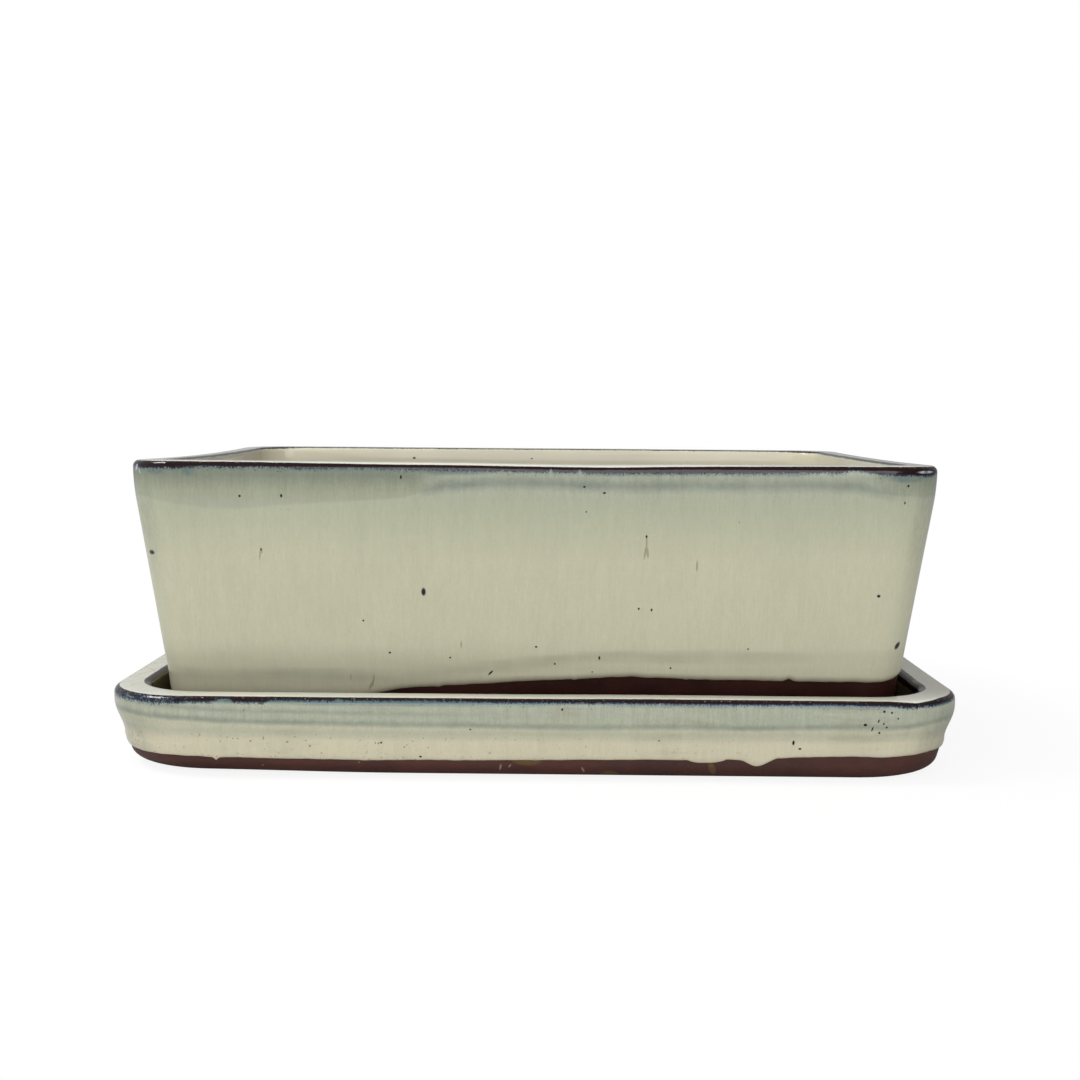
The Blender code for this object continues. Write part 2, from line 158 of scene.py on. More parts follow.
class GlazeLook(bpy.types.PropertyGroup):
    thickness: length("Thickness", "Thickness of the glaze coat", 0.0007)
    roll: length("Roll", "How far the coat swells above its run edge", 0.00012)
    roll_height: length("Roll height", "Height of that swelling", 0.0050)
    edge_round: length("Edge rounding", "Height over which the coat rounds off at its run edge", 0.0014)
    # Also laid in the pot's inner corners as a painted highlight
    rim: tint("Rim", "Thick pale glaze on top of the rims", 245, 243, 228)
    warm: tint("Warm cream", "Body of the glaze low on the pot", 203, 201, 174)
    cool: tint("Cool cream", "Body of the glaze under the rim", 184, 187, 162)
    belly: tint("Belly cream", "Thick glaze low on the tray", 214, 207, 181)
    pale: tint("Pale", "Glaze on the tray below its pooled line", 196, 194, 171)
    lining: tint("Lining", "Glaze inside the pot", 245, 238, 210)
    basin: tint("Basin", "Thin dark glaze in the tray's basin", 104, 96, 66)
    mist: tint("Mist", "Pale grey-green under the rims", 178, 182, 163)
    sage: tint("Sage", "Grey-green of the second dip", 166, 169, 146)
    moss: tint("Moss", "Darker grey-green next to the break line", 134, 141, 124)
    blue_grey: tint("Blue-grey", "Line where the glaze has pooled", 138, 146, 134)
    teal: tint("Teal", "Fringe of the break line", 96, 118, 118)
    navy: tint("Navy", "Granules of the break line", 36, 42, 66)
    brown: tint("Break", "Clay colour that burns through on the edges", 34, 12, 13)
    # Partly painted highlights: this pale colour also stands for glints of light on the rim's edges
    glint: tint("Crystals", "Pale crystals in the break line", 196, 204, 212)
    speck: tint("Specks", "Iron specks", 28, 30, 42)
    rust: tint("Rust", "Rust streaks and craze lines", 120, 92, 58)
    # Serves both as thin glaze and as painted shade: above the foot, along the groove, above the run edge
    shade: tint("Foot shade", "Thin grey-brown glaze above the foot", 148, 139, 120)


class ClayLook(bpy.types.PropertyGroup):
    clay: tint("Clay", "Fired clay", 82, 42, 33)
    dark: tint("Dark clay", "Darker patches of the clay", 60, 28, 22)
    stain: tint("Stains", "Smears of thin glaze on the clay", 104, 84, 34)
    scratch: tint("Scratches", "Pale scratches on the clay", 176, 160, 150)
    # Painted shade: the pot's clay is the tray's clay made darker and duller, as shade in the tray's gutter
    pot_tone: number("Pot clay", "Brightness of the pot's clay next to the tray's", 0.45)


class StageSettings(bpy.types.PropertyGroup):
    lens: number("Lens", "Focal length in millimetres on a 36 mm sensor", 49.91)
    camera_place: bpy.props.FloatVectorProperty(
        name="Camera place", description="Where the camera stands", default=(0.00742, -0.6679, 0.1368),
        size=3, subtype="TRANSLATION", unit="LENGTH"
    )
    camera_pitch: bpy.props.FloatProperty(
        name="Camera pitch", description="How far the camera looks down", default=0.0879, subtype="ANGLE"
    )
    camera_yaw: bpy.props.FloatProperty(
        name="Camera yaw", description="How far the camera is turned to the right", default=-0.0089,
        subtype="ANGLE"
    )
    camera_roll: bpy.props.FloatProperty(
        name="Camera roll", description="How far the camera is tilted", default=0.0079, subtype="ANGLE"
    )
    sky: number("Sky", "Strength of the even light from all round", 0.36)
    key: number("Key", "Power of the large lamp at the upper left", 11.0)
    fill: number("Fill", "Power of the lamp in front", 14.0)
    floor_size: length("Floor", "Width of the floor", 6.0)


# Plan outlines: a rounded rectangle is walked anticlockwise through the same stations at every level


def walk(half_length, half_depth, corner, spacing, corner_steps):
    """Stations round a rounded rectangle: side, fraction along it from -1 to 1, and turn of its corner."""
    stations = []
    for side in (FRONT, RIGHT, BACK, LEFT):
        straight = 2 * ((half_depth if side % 2 else half_length) - corner)
        steps = round(straight / spacing)
        stations += [(side, 2 * step / steps - 1, 0.0) for step in range(steps + 1)]
        stations += [(side, 1.0, math.pi / 2 * step / corner_steps) for step in range(1, corner_steps)]
    return stations


def spot(station, half_length, half_depth, corner):
    """Where a station lies on a rounded rectangle of this size."""
    side, fraction, turn = station
    half_along, half_out = (half_depth, half_length) if side % 2 else (half_length, half_depth)
    along = fraction * (half_along - corner) + corner * math.sin(turn)
    out = half_out - corner + corner * math.cos(turn)
    return ((along, -out), (out, along), (-along, out), (-out, -along))[side]


def smooth(value):
    """An S curve from 0 to 1."""
    value = min(max(value, 0.0), 1.0)
    return value * value * (3 - 2 * value)


def ripple(x, y, z, scale, seed):
    """Even noise from -1 to 1 at a place."""
    return noise.noise(Vector((x * scale + seed, y * scale - seed, z * scale + 2 * seed)))


SPACING = 0.0009  # distance between the stations along the straight sides
POT_CORNER_STEPS, TRAY_CORNER_STEPS = 18, 26
LEAST_CORNER = 0.0015
DIP_PLACE, DIP_REACH = 0.018, 0.05  # the small dip of the pot's front rim
GROOVE_LEVEL, GROOVE_WIDTH = 0.0372, 0.0030
UNEVEN_RIM, UNEVEN_WALL = 0.00006, 0.00018  # the pot's unevenness, downward and inward
UNEVEN_LIP, UNEVEN_SIDE = 0.00012, 0.0001  # the same of the tray
BASE_LIFT_LEVEL = 0.012  # the height under which the tray's base edge lifts


def draw_in(sizes, x, y, drawn):
    """Moves a place on a wall inward: most in the middle of a side, and not at all at a corner."""
    u, v = 2 * x / sizes.length, 2 * y / sizes.depth
    x -= math.copysign(drawn * max(1 - v * v, 0.0), x) * min(abs(u), 1.0) ** 6
    y -= math.copysign(drawn * max(1 - u * u, 0.0), y) * min(abs(v), 1.0) ** 6
    return x, y


class Pot:
    """Sections of the pot: half length, half depth and corner at a depth below the rim. A shift goes into the
    wall."""

    def __init__(self, sizes):
        self.sizes = sizes
        self.rim_level = sizes.rim_level
        self.height = sizes.rim_level - sizes.foot_level
        half_length, half_depth = sizes.length / 2, sizes.depth / 2
        self.stations = walk(half_length, half_depth, sizes.corner_at_rim, SPACING, POT_CORNER_STEPS)

    def inset(self, depth):
        sizes = self.sizes
        start, end = sizes.lip_band - sizes.lip_blend, sizes.lip_band + sizes.lip_blend
        if depth <= start:
            return 0.0
        if depth < end:
            return sizes.taper * (depth - start) ** 2 / (2 * (end - start))
        return sizes.taper * (depth - sizes.lip_band)

    def outside(self, depth, shift=0.0):
        sizes = self.sizes
        inset = self.inset(depth) + shift
        corner = sizes.corner_at_rim + (sizes.corner_at_foot - sizes.corner_at_rim) * depth / self.height
        return sizes.length / 2 - inset, sizes.depth / 2 - inset, max(corner - shift, LEAST_CORNER)

    def inside(self, depth, shift=0.0):
        sizes = self.sizes
        inset = max(sizes.rim_width, self.inset(depth) + sizes.wall) - shift
        corner = max(sizes.inner_corner + shift, LEAST_CORNER)
        return sizes.length / 2 - inset, sizes.depth / 2 - inset, corner

    def settle(self, x, y, z):
        """Small sags and hollows of the fired pot. They only go inward and down."""
        sizes = self.sizes
        u, v = 2 * x / sizes.length, 2 * y / sizes.depth
        share = (z - sizes.foot_level) / self.height
        dip = sizes.front_dip * smooth(1 - abs(x - DIP_PLACE) / DIP_REACH)
        sag = (sizes.front_sag * (1 - u * u) + dip) * max(0.0, -v) ** 4
        sag += sizes.side_sag * (1 - 0.3 * u) * abs(u) ** 6 * (1 - v * v) + sizes.rim_fall * (v + 1) / 2
        uneven = UNEVEN_RIM * (1 + ripple(x, y, 0.0, 14.0, 3.1))
        z -= (max(sag, 0.0) + uneven) * smooth(2 * share - 1)
        drawn = sizes.hollow * math.sin(math.pi * min(max(share, 0.0), 1.0))
        drawn += UNEVEN_WALL * (1 + ripple(x, y, z, 16.0, 7.7)) * smooth((1 - share) * 8)
        x, y = draw_in(sizes, x, y, drawn)
        if y < 0:
            across = math.exp(-((z - GROOVE_LEVEL) / GROOVE_WIDTH) ** 2)
            y += sizes.groove * across * smooth((-u - 0.30) / 0.35)
        return Vector((x, y, z))


class Tray:
    """Sections of the tray, as for the pot."""

    def __init__(self, sizes):
        self.sizes = sizes
        self.rim_level = sizes.height
        half_length, half_depth = sizes.length / 2, sizes.depth / 2
        self.stations = walk(half_length, half_depth, sizes.corner, SPACING, TRAY_CORNER_STEPS)

    def inset(self, depth):
        sizes = self.sizes
        if depth <= sizes.neck_depth:
            sweep = max(depth - sizes.lip_band, 0.0) / (sizes.neck_depth - sizes.lip_band)
            return sizes.neck_inset * (1 - math.cos(math.pi * sweep)) / 2
        inset = sizes.neck_inset + sizes.belly_slope * (depth - sizes.neck_depth)
        below = depth - (sizes.height - sizes.base_round)
        if below > 0:
            inset += sizes.base_round - math.sqrt(max(sizes.base_round ** 2 - below ** 2, 0.0))
        return inset

    def outside(self, depth, shift=0.0):
        sizes = self.sizes
        inset = self.inset(depth) + shift
        return sizes.length / 2 - inset, sizes.depth / 2 - inset, max(sizes.corner - shift, LEAST_CORNER)

    def inside(self, depth, shift=0.0):
        sizes = self.sizes
        inset = sizes.rim_width + sizes.basin_draft * depth - shift
        corner = max(sizes.inner_corner + shift, LEAST_CORNER)
        return sizes.length / 2 - inset, sizes.depth / 2 - inset, corner

    def settle(self, x, y, z):
        """Small warps of the fired tray. The lip stays inside its length and depth."""
        sizes = self.sizes
        u, v = 2 * x / sizes.length, 2 * y / sizes.depth
        share = smooth(z / sizes.height * 2 - 1)
        z -= (sizes.warp * u * max(v, 0.0) + UNEVEN_LIP * ripple(x, y, 0.0, 18.0, 5.3)) * share
        z += sizes.front_rise * smooth((u + 0.1) / 0.4) * max(-v, 0.0) ** 4 * share
        corner_lift = sizes.base_lift * smooth((-u - 0.30) / 0.55) * smooth(-2 * v - 0.6)
        z += corner_lift * smooth(1 - z / BASE_LIFT_LEVEL)
        x, y = draw_in(sizes, x, y, UNEVEN_SIDE * (1 + ripple(x, y, z, 15.0, 2.9)))
        return Vector((x + sizes.short_left * smooth(-u), y, z))


def ring(ware, section, depths, shift):
    """Points of one level: depths is one depth below the rim, or a list with one for each station."""
    if not isinstance(depths, list):
        depths = [depths] * len(ware.stations)
    points = []
    for station, depth in zip(ware.stations, depths):
        x, y = spot(station, *section(depth, shift))
        points.append(ware.settle(x, y, ware.rim_level - depth))
    return points


def quarter_round(radius, steps):
    """Shift into the wall and depth below the top, from a side face up round its edge to the top face."""
    turns = [math.pi / 2 * step / steps for step in range(steps + 1)]
    return [(radius * (1 - math.cos(turn)), radius * (1 - math.sin(turn))) for turn in turns]


def rings(ware, section, levels, shift):
    """A ring for each level, all with the same shift."""
    return [ring(ware, section, depths, shift) for depths in levels]


def between(first, last, steps):
    """Levels in even steps from the first to the last, without the first. Each is one depth or a list."""
    shares = [step / steps for step in range(1, steps + 1)]
    if isinstance(first, float) and isinstance(last, float):
        return [first + (last - first) * share for share in shares]
    first = first if isinstance(first, list) else [first] * len(last)
    last = last if isinstance(last, list) else [last] * len(first)
    return [[start + (end - start) * share for start, end in zip(first, last)] for share in shares]


class Skin:
    """A skin of matching rings: the first is a circle of vertices, and each next one is extruded from the
    last."""

    def __init__(self, mesh, points):
        self.mesh = mesh
        layers = mesh.verts.layers
        self.station = layers.int.get("station") or layers.int.new("station")
        self.reach = layers.float.get("reach") or layers.float.new("reach")
        made = bmesh.ops.create_circle(mesh, segments=len(points), radius=1.0)["verts"]
        for index, vertex in enumerate(made):
            vertex[self.station] = index
        self.edges = list({edge for vertex in made for edge in vertex.link_edges})
        self.first = self.edges
        self.lengths = [0.0] * len(points)
        self.points = points
        self.marks = {}
        self.place(made, points)

    def place(self, vertices, points):
        steps = [(new - old).length for new, old in zip(points, self.points)]
        self.lengths = [reached + step for reached, step in zip(self.lengths, steps)]
        self.points = points
        for vertex in vertices:
            index = vertex[self.station]
            vertex.co = points[index]
            vertex[self.reach] = self.lengths[index]

    def add(self, *levels):
        for points in levels:
            made = bmesh.ops.extrude_edge_only(self.mesh, edges=self.edges)["geom"]
            self.edges = [item for item in made if isinstance(item, bmesh.types.BMEdge)]
            self.place([item for item in made if isinstance(item, bmesh.types.BMVert)], points)

    def mark(self, name, drop=0.0):
        """A line at a depth below the last ring becomes the zero of a distance, kept under this name."""
        self.marks[name] = [reached - drop for reached in self.lengths]

    def mark_below(self, name, stations, keys, drop=0.0):
        """As mark, for a line at key depths below the last ring."""
        depths = [height_along(keys, station) for station in stations]
        self.marks[name] = [reached - depth - drop for reached, depth in zip(self.lengths, depths)]

    def close(self):
        bmesh.ops.bridge_loops(self.mesh, edges=self.first + self.edges)

    def measure(self, stations):
        """Gives each vertex its distance along the skin from each mark, in millimetres, and how near it is to
        the middle of a corner, from 0 on the straight sides to 1."""
        for name, zero in self.marks.items():
            layer = self.mesh.verts.layers.float.new(name)
            for vertex in self.mesh.verts:
                vertex[layer] = (vertex[self.reach] - zero[vertex[self.station]]) / MM
        layer = self.mesh.verts.layers.float.new("corner")
        for vertex in self.mesh.verts:
            vertex[layer] = math.sin(2 * stations[vertex[self.station]][2])


def cap(mesh, *loops):
    """A flat face inside the first loop, with a hole for each other one."""
    bmesh.ops.triangle_fill(mesh, edges=[edge for loop in loops for edge in loop], use_beauty=True)


def finish_piece(name, mesh, material, body, node):
    """Turns a closed mesh into a piece that stands for a node of the frame and rides on its body."""
    bmesh.ops.recalc_face_normals(mesh, faces=mesh.faces)
    data = bpy.data.meshes.new(name)
    mesh.to_mesh(data)
    mesh.free()
    data.shade_smooth()
    data.set_sharp_from_angle(angle=math.radians(40))
    data.materials.append(material)
    piece = bpy.data.objects.new(name, data)
    bpy.context.scene.collection.objects.link(piece)
    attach(piece, body)
    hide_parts(node)
    return piece


# Run edges: the height above the table at which the glaze ends, as places along each side from -1 to 1 and
# heights in millimetres. A place of 1.5 is the middle of the corner after that side.

POT_RUN = {
    FRONT: (
        (-1.0, 22.5), (-0.75, 24.5), (-0.52, 26.8), (-0.395, 30.2), (-0.288, 31.1), (-0.274, 31.5),
        (-0.1, 32.7), (0.078, 34.0), (0.296, 35.5), (0.343, 35.0), (0.555, 34.7), (0.877, 34.2),
        (1.3, 34.2), (1.55, 35.2), (1.8, 36.4),
    ),
    RIGHT: ((-0.9, 35.0), (-0.2, 32.2), (0.4, 33.6), (0.9, 32.6), (1.5, 34.8)),
    BACK: ((-0.9, 33.0), (-0.3, 34.2), (0.3, 32.2), (0.9, 33.0), (1.5, 34.6)),
    LEFT: ((-0.9, 32.8), (-0.2, 33.9), (0.5, 32.2), (0.9, 28.5), (1.5, 23.8)),
}
TRAY_RUN = {
    FRONT: (
        (-1.0, 6.7), (-0.93, 6.5), (-0.82, 6.3), (-0.6, 6.0), (-0.09, 6.6), (0.18, 7.0), (0.42, 7.4),
        (0.68, 8.1), (0.86, 9.3), (0.95, 9.4), (1.02, 9.0), (1.5, 9.7),
    ),
    RIGHT: ((-0.95, 8.8), (-0.3, 7.4), (0.4, 7.0), (0.95, 8.8), (1.5, 11.2)),
    BACK: ((-0.95, 8.6), (-0.2, 6.8), (0.4, 7.6), (0.95, 8.4), (1.5, 11.0)),
    LEFT: ((-0.95, 8.8), (-0.2, 7.2), (0.5, 6.6), (0.95, 7.0), (1.5, 7.0)),
}

# Lines in the glaze, as depths in millimetres below the rim's outer edge: the lower edge of the second dip on
# the pot, the lower and the upper edge of each break line, and the tray's line of pooled glaze

POT_DIP = {
    FRONT: (
        (-1.0, 17.0), (-0.92, 18.5), (-0.82, 18.7), (-0.71, 17.1), (-0.57, 15.8), (-0.44, 14.8),
        (-0.37, 14.2), (-0.32, 12.2), (-0.25, 9.8), (-0.1, 8.1), (0.07, 8.2), (0.3, 9.2), (0.53, 9.2),
        (0.75, 8.8), (0.9, 9.1), (0.95, 11.0), (1.02, 12.0), (1.5, 12.4),
    ),
    RIGHT: ((-0.8, 11.5), (-0.3, 9.0), (0.2, 13.6), (0.7, 15.8), (1.5, 12.0)),
    BACK: ((-0.8, 9.8), (-0.3, 15.0), (0.1, 17.2), (0.5, 11.8), (0.9, 9.0), (1.5, 11.0)),
    LEFT: ((-0.8, 12.8), (-0.2, 17.0), (0.3, 12.4), (0.8, 12.8), (1.5, 14.6)),
}
POT_LINE = {
    FRONT: (
        (-1.0, 4.0), (-0.95, 3.6), (-0.92, 3.1), (-0.84, 3.5), (-0.76, 3.2), (-0.64, 3.6), (-0.51, 3.4),
        (-0.37, 3.6), (-0.23, 3.8), (0.04, 3.8), (0.047, 2.4), (0.055, 3.8), (0.12, 3.8), (0.128, 2.2),
        (0.137, 3.9), (0.3, 4.1), (0.41, 4.2), (0.58, 4.1), (0.7, 3.9), (0.8, 3.6), (0.85, 3.8),
        (0.88, 2.8), (0.93, 3.4), (0.97, 4.6), (1.25, 4.6), (1.55, 5.0), (1.8, 3.6),
    ),
    RIGHT: ((-0.9, 3.1), (-0.5, 3.6), (-0.1, 2.8), (0.3, 3.4), (0.8, 3.0), (1.5, 4.6)),
    BACK: ((-0.9, 3.4), (-0.6, 2.9), (-0.2, 3.6), (0.3, 3.0), (0.85, 3.3), (1.4, 4.7)),
    LEFT: ((-0.9, 3.2), (-0.3, 2.7), (0.3, 3.5), (0.8, 3.1), (1.2, 3.4), (1.6, 4.2), (1.9, 3.8)),
}
POT_LINE_TOP = {
    FRONT: (
        (-0.8, 0.8), (-0.6, 1.2), (-0.47, 1.4), (-0.2, 1.6), (0.06, 1.4), (0.22, 1.5), (0.37, 1.4),
        (0.53, 1.2), (0.78, 0.8), (1.5, 0.8),
    ),
    BACK: ((-0.5, 1.0), (0.5, 0.9), (1.5, 0.7)),
}
TRAY_LINE = {
    FRONT: (
        (-1.0, 4.0), (-0.9, 3.5), (-0.885, 2.6), (-0.855, 2.4), (-0.84, 3.7), (-0.77, 3.6), (-0.757, 4.0),
        (-0.74, 2.8), (-0.56, 2.8), (-0.545, 1.9), (-0.53, 2.7), (-0.37, 2.6), (-0.23, 2.7), (-0.09, 3.0),
        (0.155, 3.0), (0.167, 3.6), (0.18, 3.0), (0.41, 3.4), (0.57, 3.4), (0.85, 3.0), (0.93, 3.3),
        (1.05, 3.3), (1.11, 3.7), (1.22, 4.1), (1.39, 3.7), (1.48, 3.6), (1.7, 3.2),
    ),
    RIGHT: ((-0.9, 3.2), (-0.4, 3.6), (0.1, 2.7), (0.6, 3.4), (1.5, 4.3)),
    BACK: ((-0.9, 3.1), (-0.7, 4.0), (-0.3, 2.8), (0.2, 3.4), (0.7, 2.7), (1.5, 4.4)),
    LEFT: ((-0.9, 3.0), (-0.3, 3.6), (0.4, 2.8), (0.9, 3.6), (1.3, 4.4), (1.7, 4.5)),
}
TRAY_LINE_TOP = {
    FRONT: ((-0.9, 0.9), (1.0, 0.9), (1.11, 1.4), (1.22, 2.2), (1.39, 1.5), (1.5, 0.9)),
    BACK: ((-0.9, 0.9), (0.9, 0.9), (1.3, 1.3), (1.6, 0.9)),
}
TRAY_POOL = {
    FRONT: (
        (-1.0, 9.4), (-0.87, 10.6), (-0.76, 10.9), (-0.51, 11.4), (-0.15, 11.7), (0.075, 12.5),
        (0.35, 12.1), (0.63, 12.1), (0.91, 11.2), (1.02, 11.3), (1.5, 9.6),
    ),
    RIGHT: ((-0.8, 10.4), (-0.2, 12.2), (0.5, 11.4), (1.5, 9.8)),
    BACK: ((-0.7, 12.0), (0.1, 11.0), (0.6, 12.4), (1.5, 10.0)),
    LEFT: ((-0.7, 10.8), (0.2, 12.2), (0.8, 10.4), (1.5, 8.6)),
}

# Drips and nicks of the run edges: side, place from the side's middle, half width and drop in millimetres,
# and fullness of the shape. A negative drop is a nick.

POT_DRIPS = (
    (FRONT, -35.5, 1.2, 0.3, 2.0), (FRONT, 96.8, 1.4, -0.9, 1.5), (FRONT, 58.0, 0.9, 0.3, 1.5),
    (FRONT, 16.0, 0.7, 0.3, 1.5), (RIGHT, -52.0, 6.0, 2.2, 1.0), (RIGHT, 34.0, 2.2, 1.1, 1.5),
    (BACK, 64.0, 8.0, 2.6, 1.0), (BACK, -41.0, 3.0, 1.3, 1.4), (LEFT, 43.0, 7.0, 2.0, 1.0),
    (LEFT, -30.0, 1.6, -0.8, 1.5),
)
TRAY_DRIPS = (
    (FRONT, -118.4, 3.0, 0.3, 1.0), (FRONT, -118.1, 0.7, 1.2, 1.3), (FRONT, 64.9, 3.5, 1.3, 0.3),
    (FRONT, 84.2, 3.3, 2.6, 0.8), (FRONT, 80.0, 4.0, 0.5, 1.0), (RIGHT, 29.0, 5.0, 2.0, 1.2),
    (RIGHT, -44.0, 2.0, 1.2, 1.6), (BACK, -53.0, 5.0, 2.2, 1.2), (BACK, 71.0, 3.0, 1.4, 0.6),
    (LEFT, -39.0, 4.5, 1.6, 1.3),
)


def height_along(keys, station):
    """The height of an edge at a station, by straight stretches between its key heights in millimetres."""
    side, fraction, turn = station
    place = 3 * side + fraction + turn / (math.pi / 2)
    rows = [(3 * where + along, height) for where, points in keys.items() for along, height in points]
    rows = [(rows[-1][0] - 12, rows[-1][1]), *rows, (rows[0][0] + 12, rows[0][1])]
    for (start, low), (end, high) in zip(rows, rows[1:]):
        if start <= place <= end:
            return MM * (low + (high - low) * (place - start) / (end - start))
    raise ValueError(f"no height at {station}")


WAVES, RIPPLES = 0.00030, 0.00016  # long waves and fine ripples of a run edge
COAT_GAP = 0.00002  # how far the back of a coat stays off its clay
COAT_TUCK, BACK_TUCK = 0.00015, 0.00014  # how far its end, and the back of its end, reach into the clay
BACK_STEP = 0.001  # how far above the run edge that back lies on the clay
POT_RUN_LEVEL = 0.0222  # height above the foot of the outline that the pot's run edge is laid out on
TRAY_RUN_LEVEL = 0.0068  # the same of the tray, above the table
END_STEPS = 6
SWELLING_SHARES = (0.2, 0.4, 0.7, 1.0)  # where the rings of a coat's swelling lie in its height
TOP_SHARES = (0.2, 0.4, 0.6, 0.8)  # where the rings of a rim's top lie in its width


def run_edge(ware, section, level, keys, drips, seed):
    """Depth of the run edge below the rim at each station, with its drips and small unevenness."""
    depths = []
    half_length, half_depth, corner = section(level)
    for station in ware.stations:
        side, fraction, _ = station
        x, y = spot(station, half_length, half_depth, corner)
        height = height_along(keys, station) if keys else ware.rim_level - level
        height += WAVES * ripple(x, y, 0.0, 60.0, seed) + RIPPLES * ripple(x, y, 0.0, 260.0, seed + 4)
        along = fraction * ((half_depth if side % 2 else half_length) - corner) / MM
        for where, place, half_width, drop, fullness in drips:
            away = abs(along - place) / (2 * half_width)
            if where == side and away < 1:
                height -= MM * drop * ((1 + math.cos(math.pi * away)) / 2) ** fullness
        depths.append(ware.rim_level - height)
    return depths


def coat_end(ware, section, edge, look):
    """Rings of a coat from inside the clay, round its lower end and over its swelling."""
    rows = [(look.thickness + COAT_TUCK, 0.0)]
    for step in range(END_STEPS + 1):
        turn = math.pi / 2 * step / END_STEPS
        rows.append((look.thickness * (1 - math.sin(turn)), look.edge_round * (1 - math.cos(turn))))
    swelling = look.roll_height - look.edge_round
    rows += [(0.0, look.edge_round + swelling * share) for share in SWELLING_SHARES]
    made = []
    for shift, rise in rows:
        swell = look.roll * math.sin(math.pi * min(rise / look.roll_height, 1.0))
        made.append(ring(ware, section, [depth - rise for depth in edge], shift - swell))
    return made


def rim_rings(ware, width, radius, crown, outer_steps, inner_steps):
    """Rings over a rim, in three lists: its outer round, its crowned top and its inner round."""
    outer_rows = quarter_round(radius, outer_steps)
    inner_rows = reversed(quarter_round(radius, inner_steps))
    outer = [ring(ware, ware.outside, depth + crown, into) for into, depth in outer_rows]
    inner = [ring(ware, ware.inside, depth + crown, into) for into, depth in inner_rows]
    top = []
    for share in TOP_SHARES:
        lift = Vector((0.0, 0.0, crown * (1 - (2 * share - 1) ** 2)))
        top.append([start.lerp(end, share) + lift for start, end in zip(outer[-1], inner[0])])
    return outer, top, inner


# Depths below the rim of rings on the pot's walls: between lip and rim on the coat, and on the clay under it
UPPER_RINGS = (0.0135, 0.0115, 0.0095, 0.0075, 0.0058, 0.0043)
MIDDLE_RING, UNDER_LIP, UNDER_RIM = 0.050, 0.010, 0.006
CLOSE_RINGS, LOWER_RINGS = 0.016, 0.030  # heights above the foot up to which the clay's rings lie closer
LINING_OVERLAP = 0.003  # how far above the lining's end the clay's inner rings start


def pot_glaze_mesh(pot, look):
    """Coat of the pot: up the outside from the run edge, over the rim, part of the way down the inside."""
    sizes = pot.sizes
    edge = run_edge(pot, pot.outside, pot.height - POT_RUN_LEVEL, POT_RUN, POT_DRIPS, seed=1.3)
    inner_edge = run_edge(pot, pot.inside, sizes.glazed_inside, None, (), seed=8.2)
    mesh = bmesh.new()
    start, *end = coat_end(pot, pot.outside, edge, look)
    skin = Skin(mesh, start)
    skin.mark("run")
    skin.add(*end)
    full = [depth - look.roll_height for depth in edge]
    lip = sizes.lip_band + sizes.lip_blend
    skin.add(*rings(pot, pot.outside, between(full, lip, 12), 0.0))
    skin.add(*rings(pot, pot.outside, UPPER_RINGS, 0.0))
    outer, top, inner = rim_rings(pot, sizes.rim_width, sizes.rim_round, sizes.rim_crown, 8, 5)
    skin.add(*outer)
    skin.mark("outer", sizes.line_drop)
    skin.mark_below("dip", pot.stations, POT_DIP, sizes.line_drop)
    skin.mark_below("line", pot.stations, POT_LINE, sizes.line_drop)
    skin.mark_below("line_top", pot.stations, POT_LINE_TOP, sizes.line_drop)
    skin.add(*top, inner[0])
    skin.mark("inner")
    skin.add(*inner[1:])
    full_inside = [depth - look.roll_height for depth in inner_edge]
    rim_end = sizes.rim_round + sizes.rim_crown
    skin.add(*rings(pot, pot.inside, between(rim_end, full_inside, 4)[:-1], 0.0))
    skin.add(*reversed(coat_end(pot, pot.inside, inner_edge, look)))
    under = look.thickness - COAT_GAP
    back = [(pot.inside, [depth - BACK_STEP for depth in inner_edge]), (pot.inside, UNDER_LIP)]
    back += [(section, look.thickness + sizes.rim_round) for section in (pot.inside, pot.outside)]
    back += [(pot.outside, depth) for depth in (UNDER_RIM, UNDER_LIP, lip)]
    back += [(pot.outside, [depth - BACK_STEP for depth in edge])]
    skin.add(*(ring(pot, section, depths, under) for section, depths in back))
    skin.close()
    skin.measure(pot.stations)
    return mesh


def arch(pot, station):
    """Height of the foot ring's lower edge above the feet at a station."""
    sizes = pot.sizes
    side, fraction, turn = station
    half_length, half_depth, corner = pot.outside(pot.height)
    half_along = half_depth if side % 2 else half_length
    leg = sizes.foot_leg_short if side % 2 else sizes.foot_leg_long
    if turn > 0:
        return 0.0
    into = (half_along - leg - abs(fraction) * (half_along - corner)) / sizes.arch_round
    if into <= 0:
        return 0.0
    return sizes.arch_height * math.sqrt(1 - (1 - min(into, 1.0)) ** 2)


LOWER_SOFT, UPPER_SOFT = 0.0010, 0.0012  # how far a hole's edge is softened under and above the floor
LOWER_MIDDLE, UPPER_MIDDLE = 0.0003, 0.0004  # the middle ring of that softening
HOLE_SIDES_IN_METRE, LEAST_HOLE_SIDES = 4000, 24


def hole(mesh, x, y, radius, low, high):
    """A round hole with softened edges through a floor: gives the skin whose ends meet the floor's faces."""
    rows = ((low, LOWER_SOFT), (low + LOWER_MIDDLE, LOWER_MIDDLE), (low + LOWER_SOFT, 0.0))
    rows += ((high - UPPER_SOFT, 0.0), (high - UPPER_MIDDLE, UPPER_MIDDLE), (high, UPPER_SOFT))
    sides = max(LEAST_HOLE_SIDES, round(radius * HOLE_SIDES_IN_METRE))
    skin = None
    for level, wider in rows:
        reach = radius + wider
        turns = [2 * math.pi * step / sides for step in range(sides)]
        points = [Vector((x + reach * math.cos(turn), y + reach * math.sin(turn), level)) for turn in turns]
        if skin:
            skin.add(points)
        else:
            skin = Skin(mesh, points)
    return skin


ROUNDS_IN_FOOT = 2.3  # how many times its edge's radius the foot ring is high at least
RECESS_START = 1.1  # how far inside the foot wall the recess's ceiling starts, in the same radius


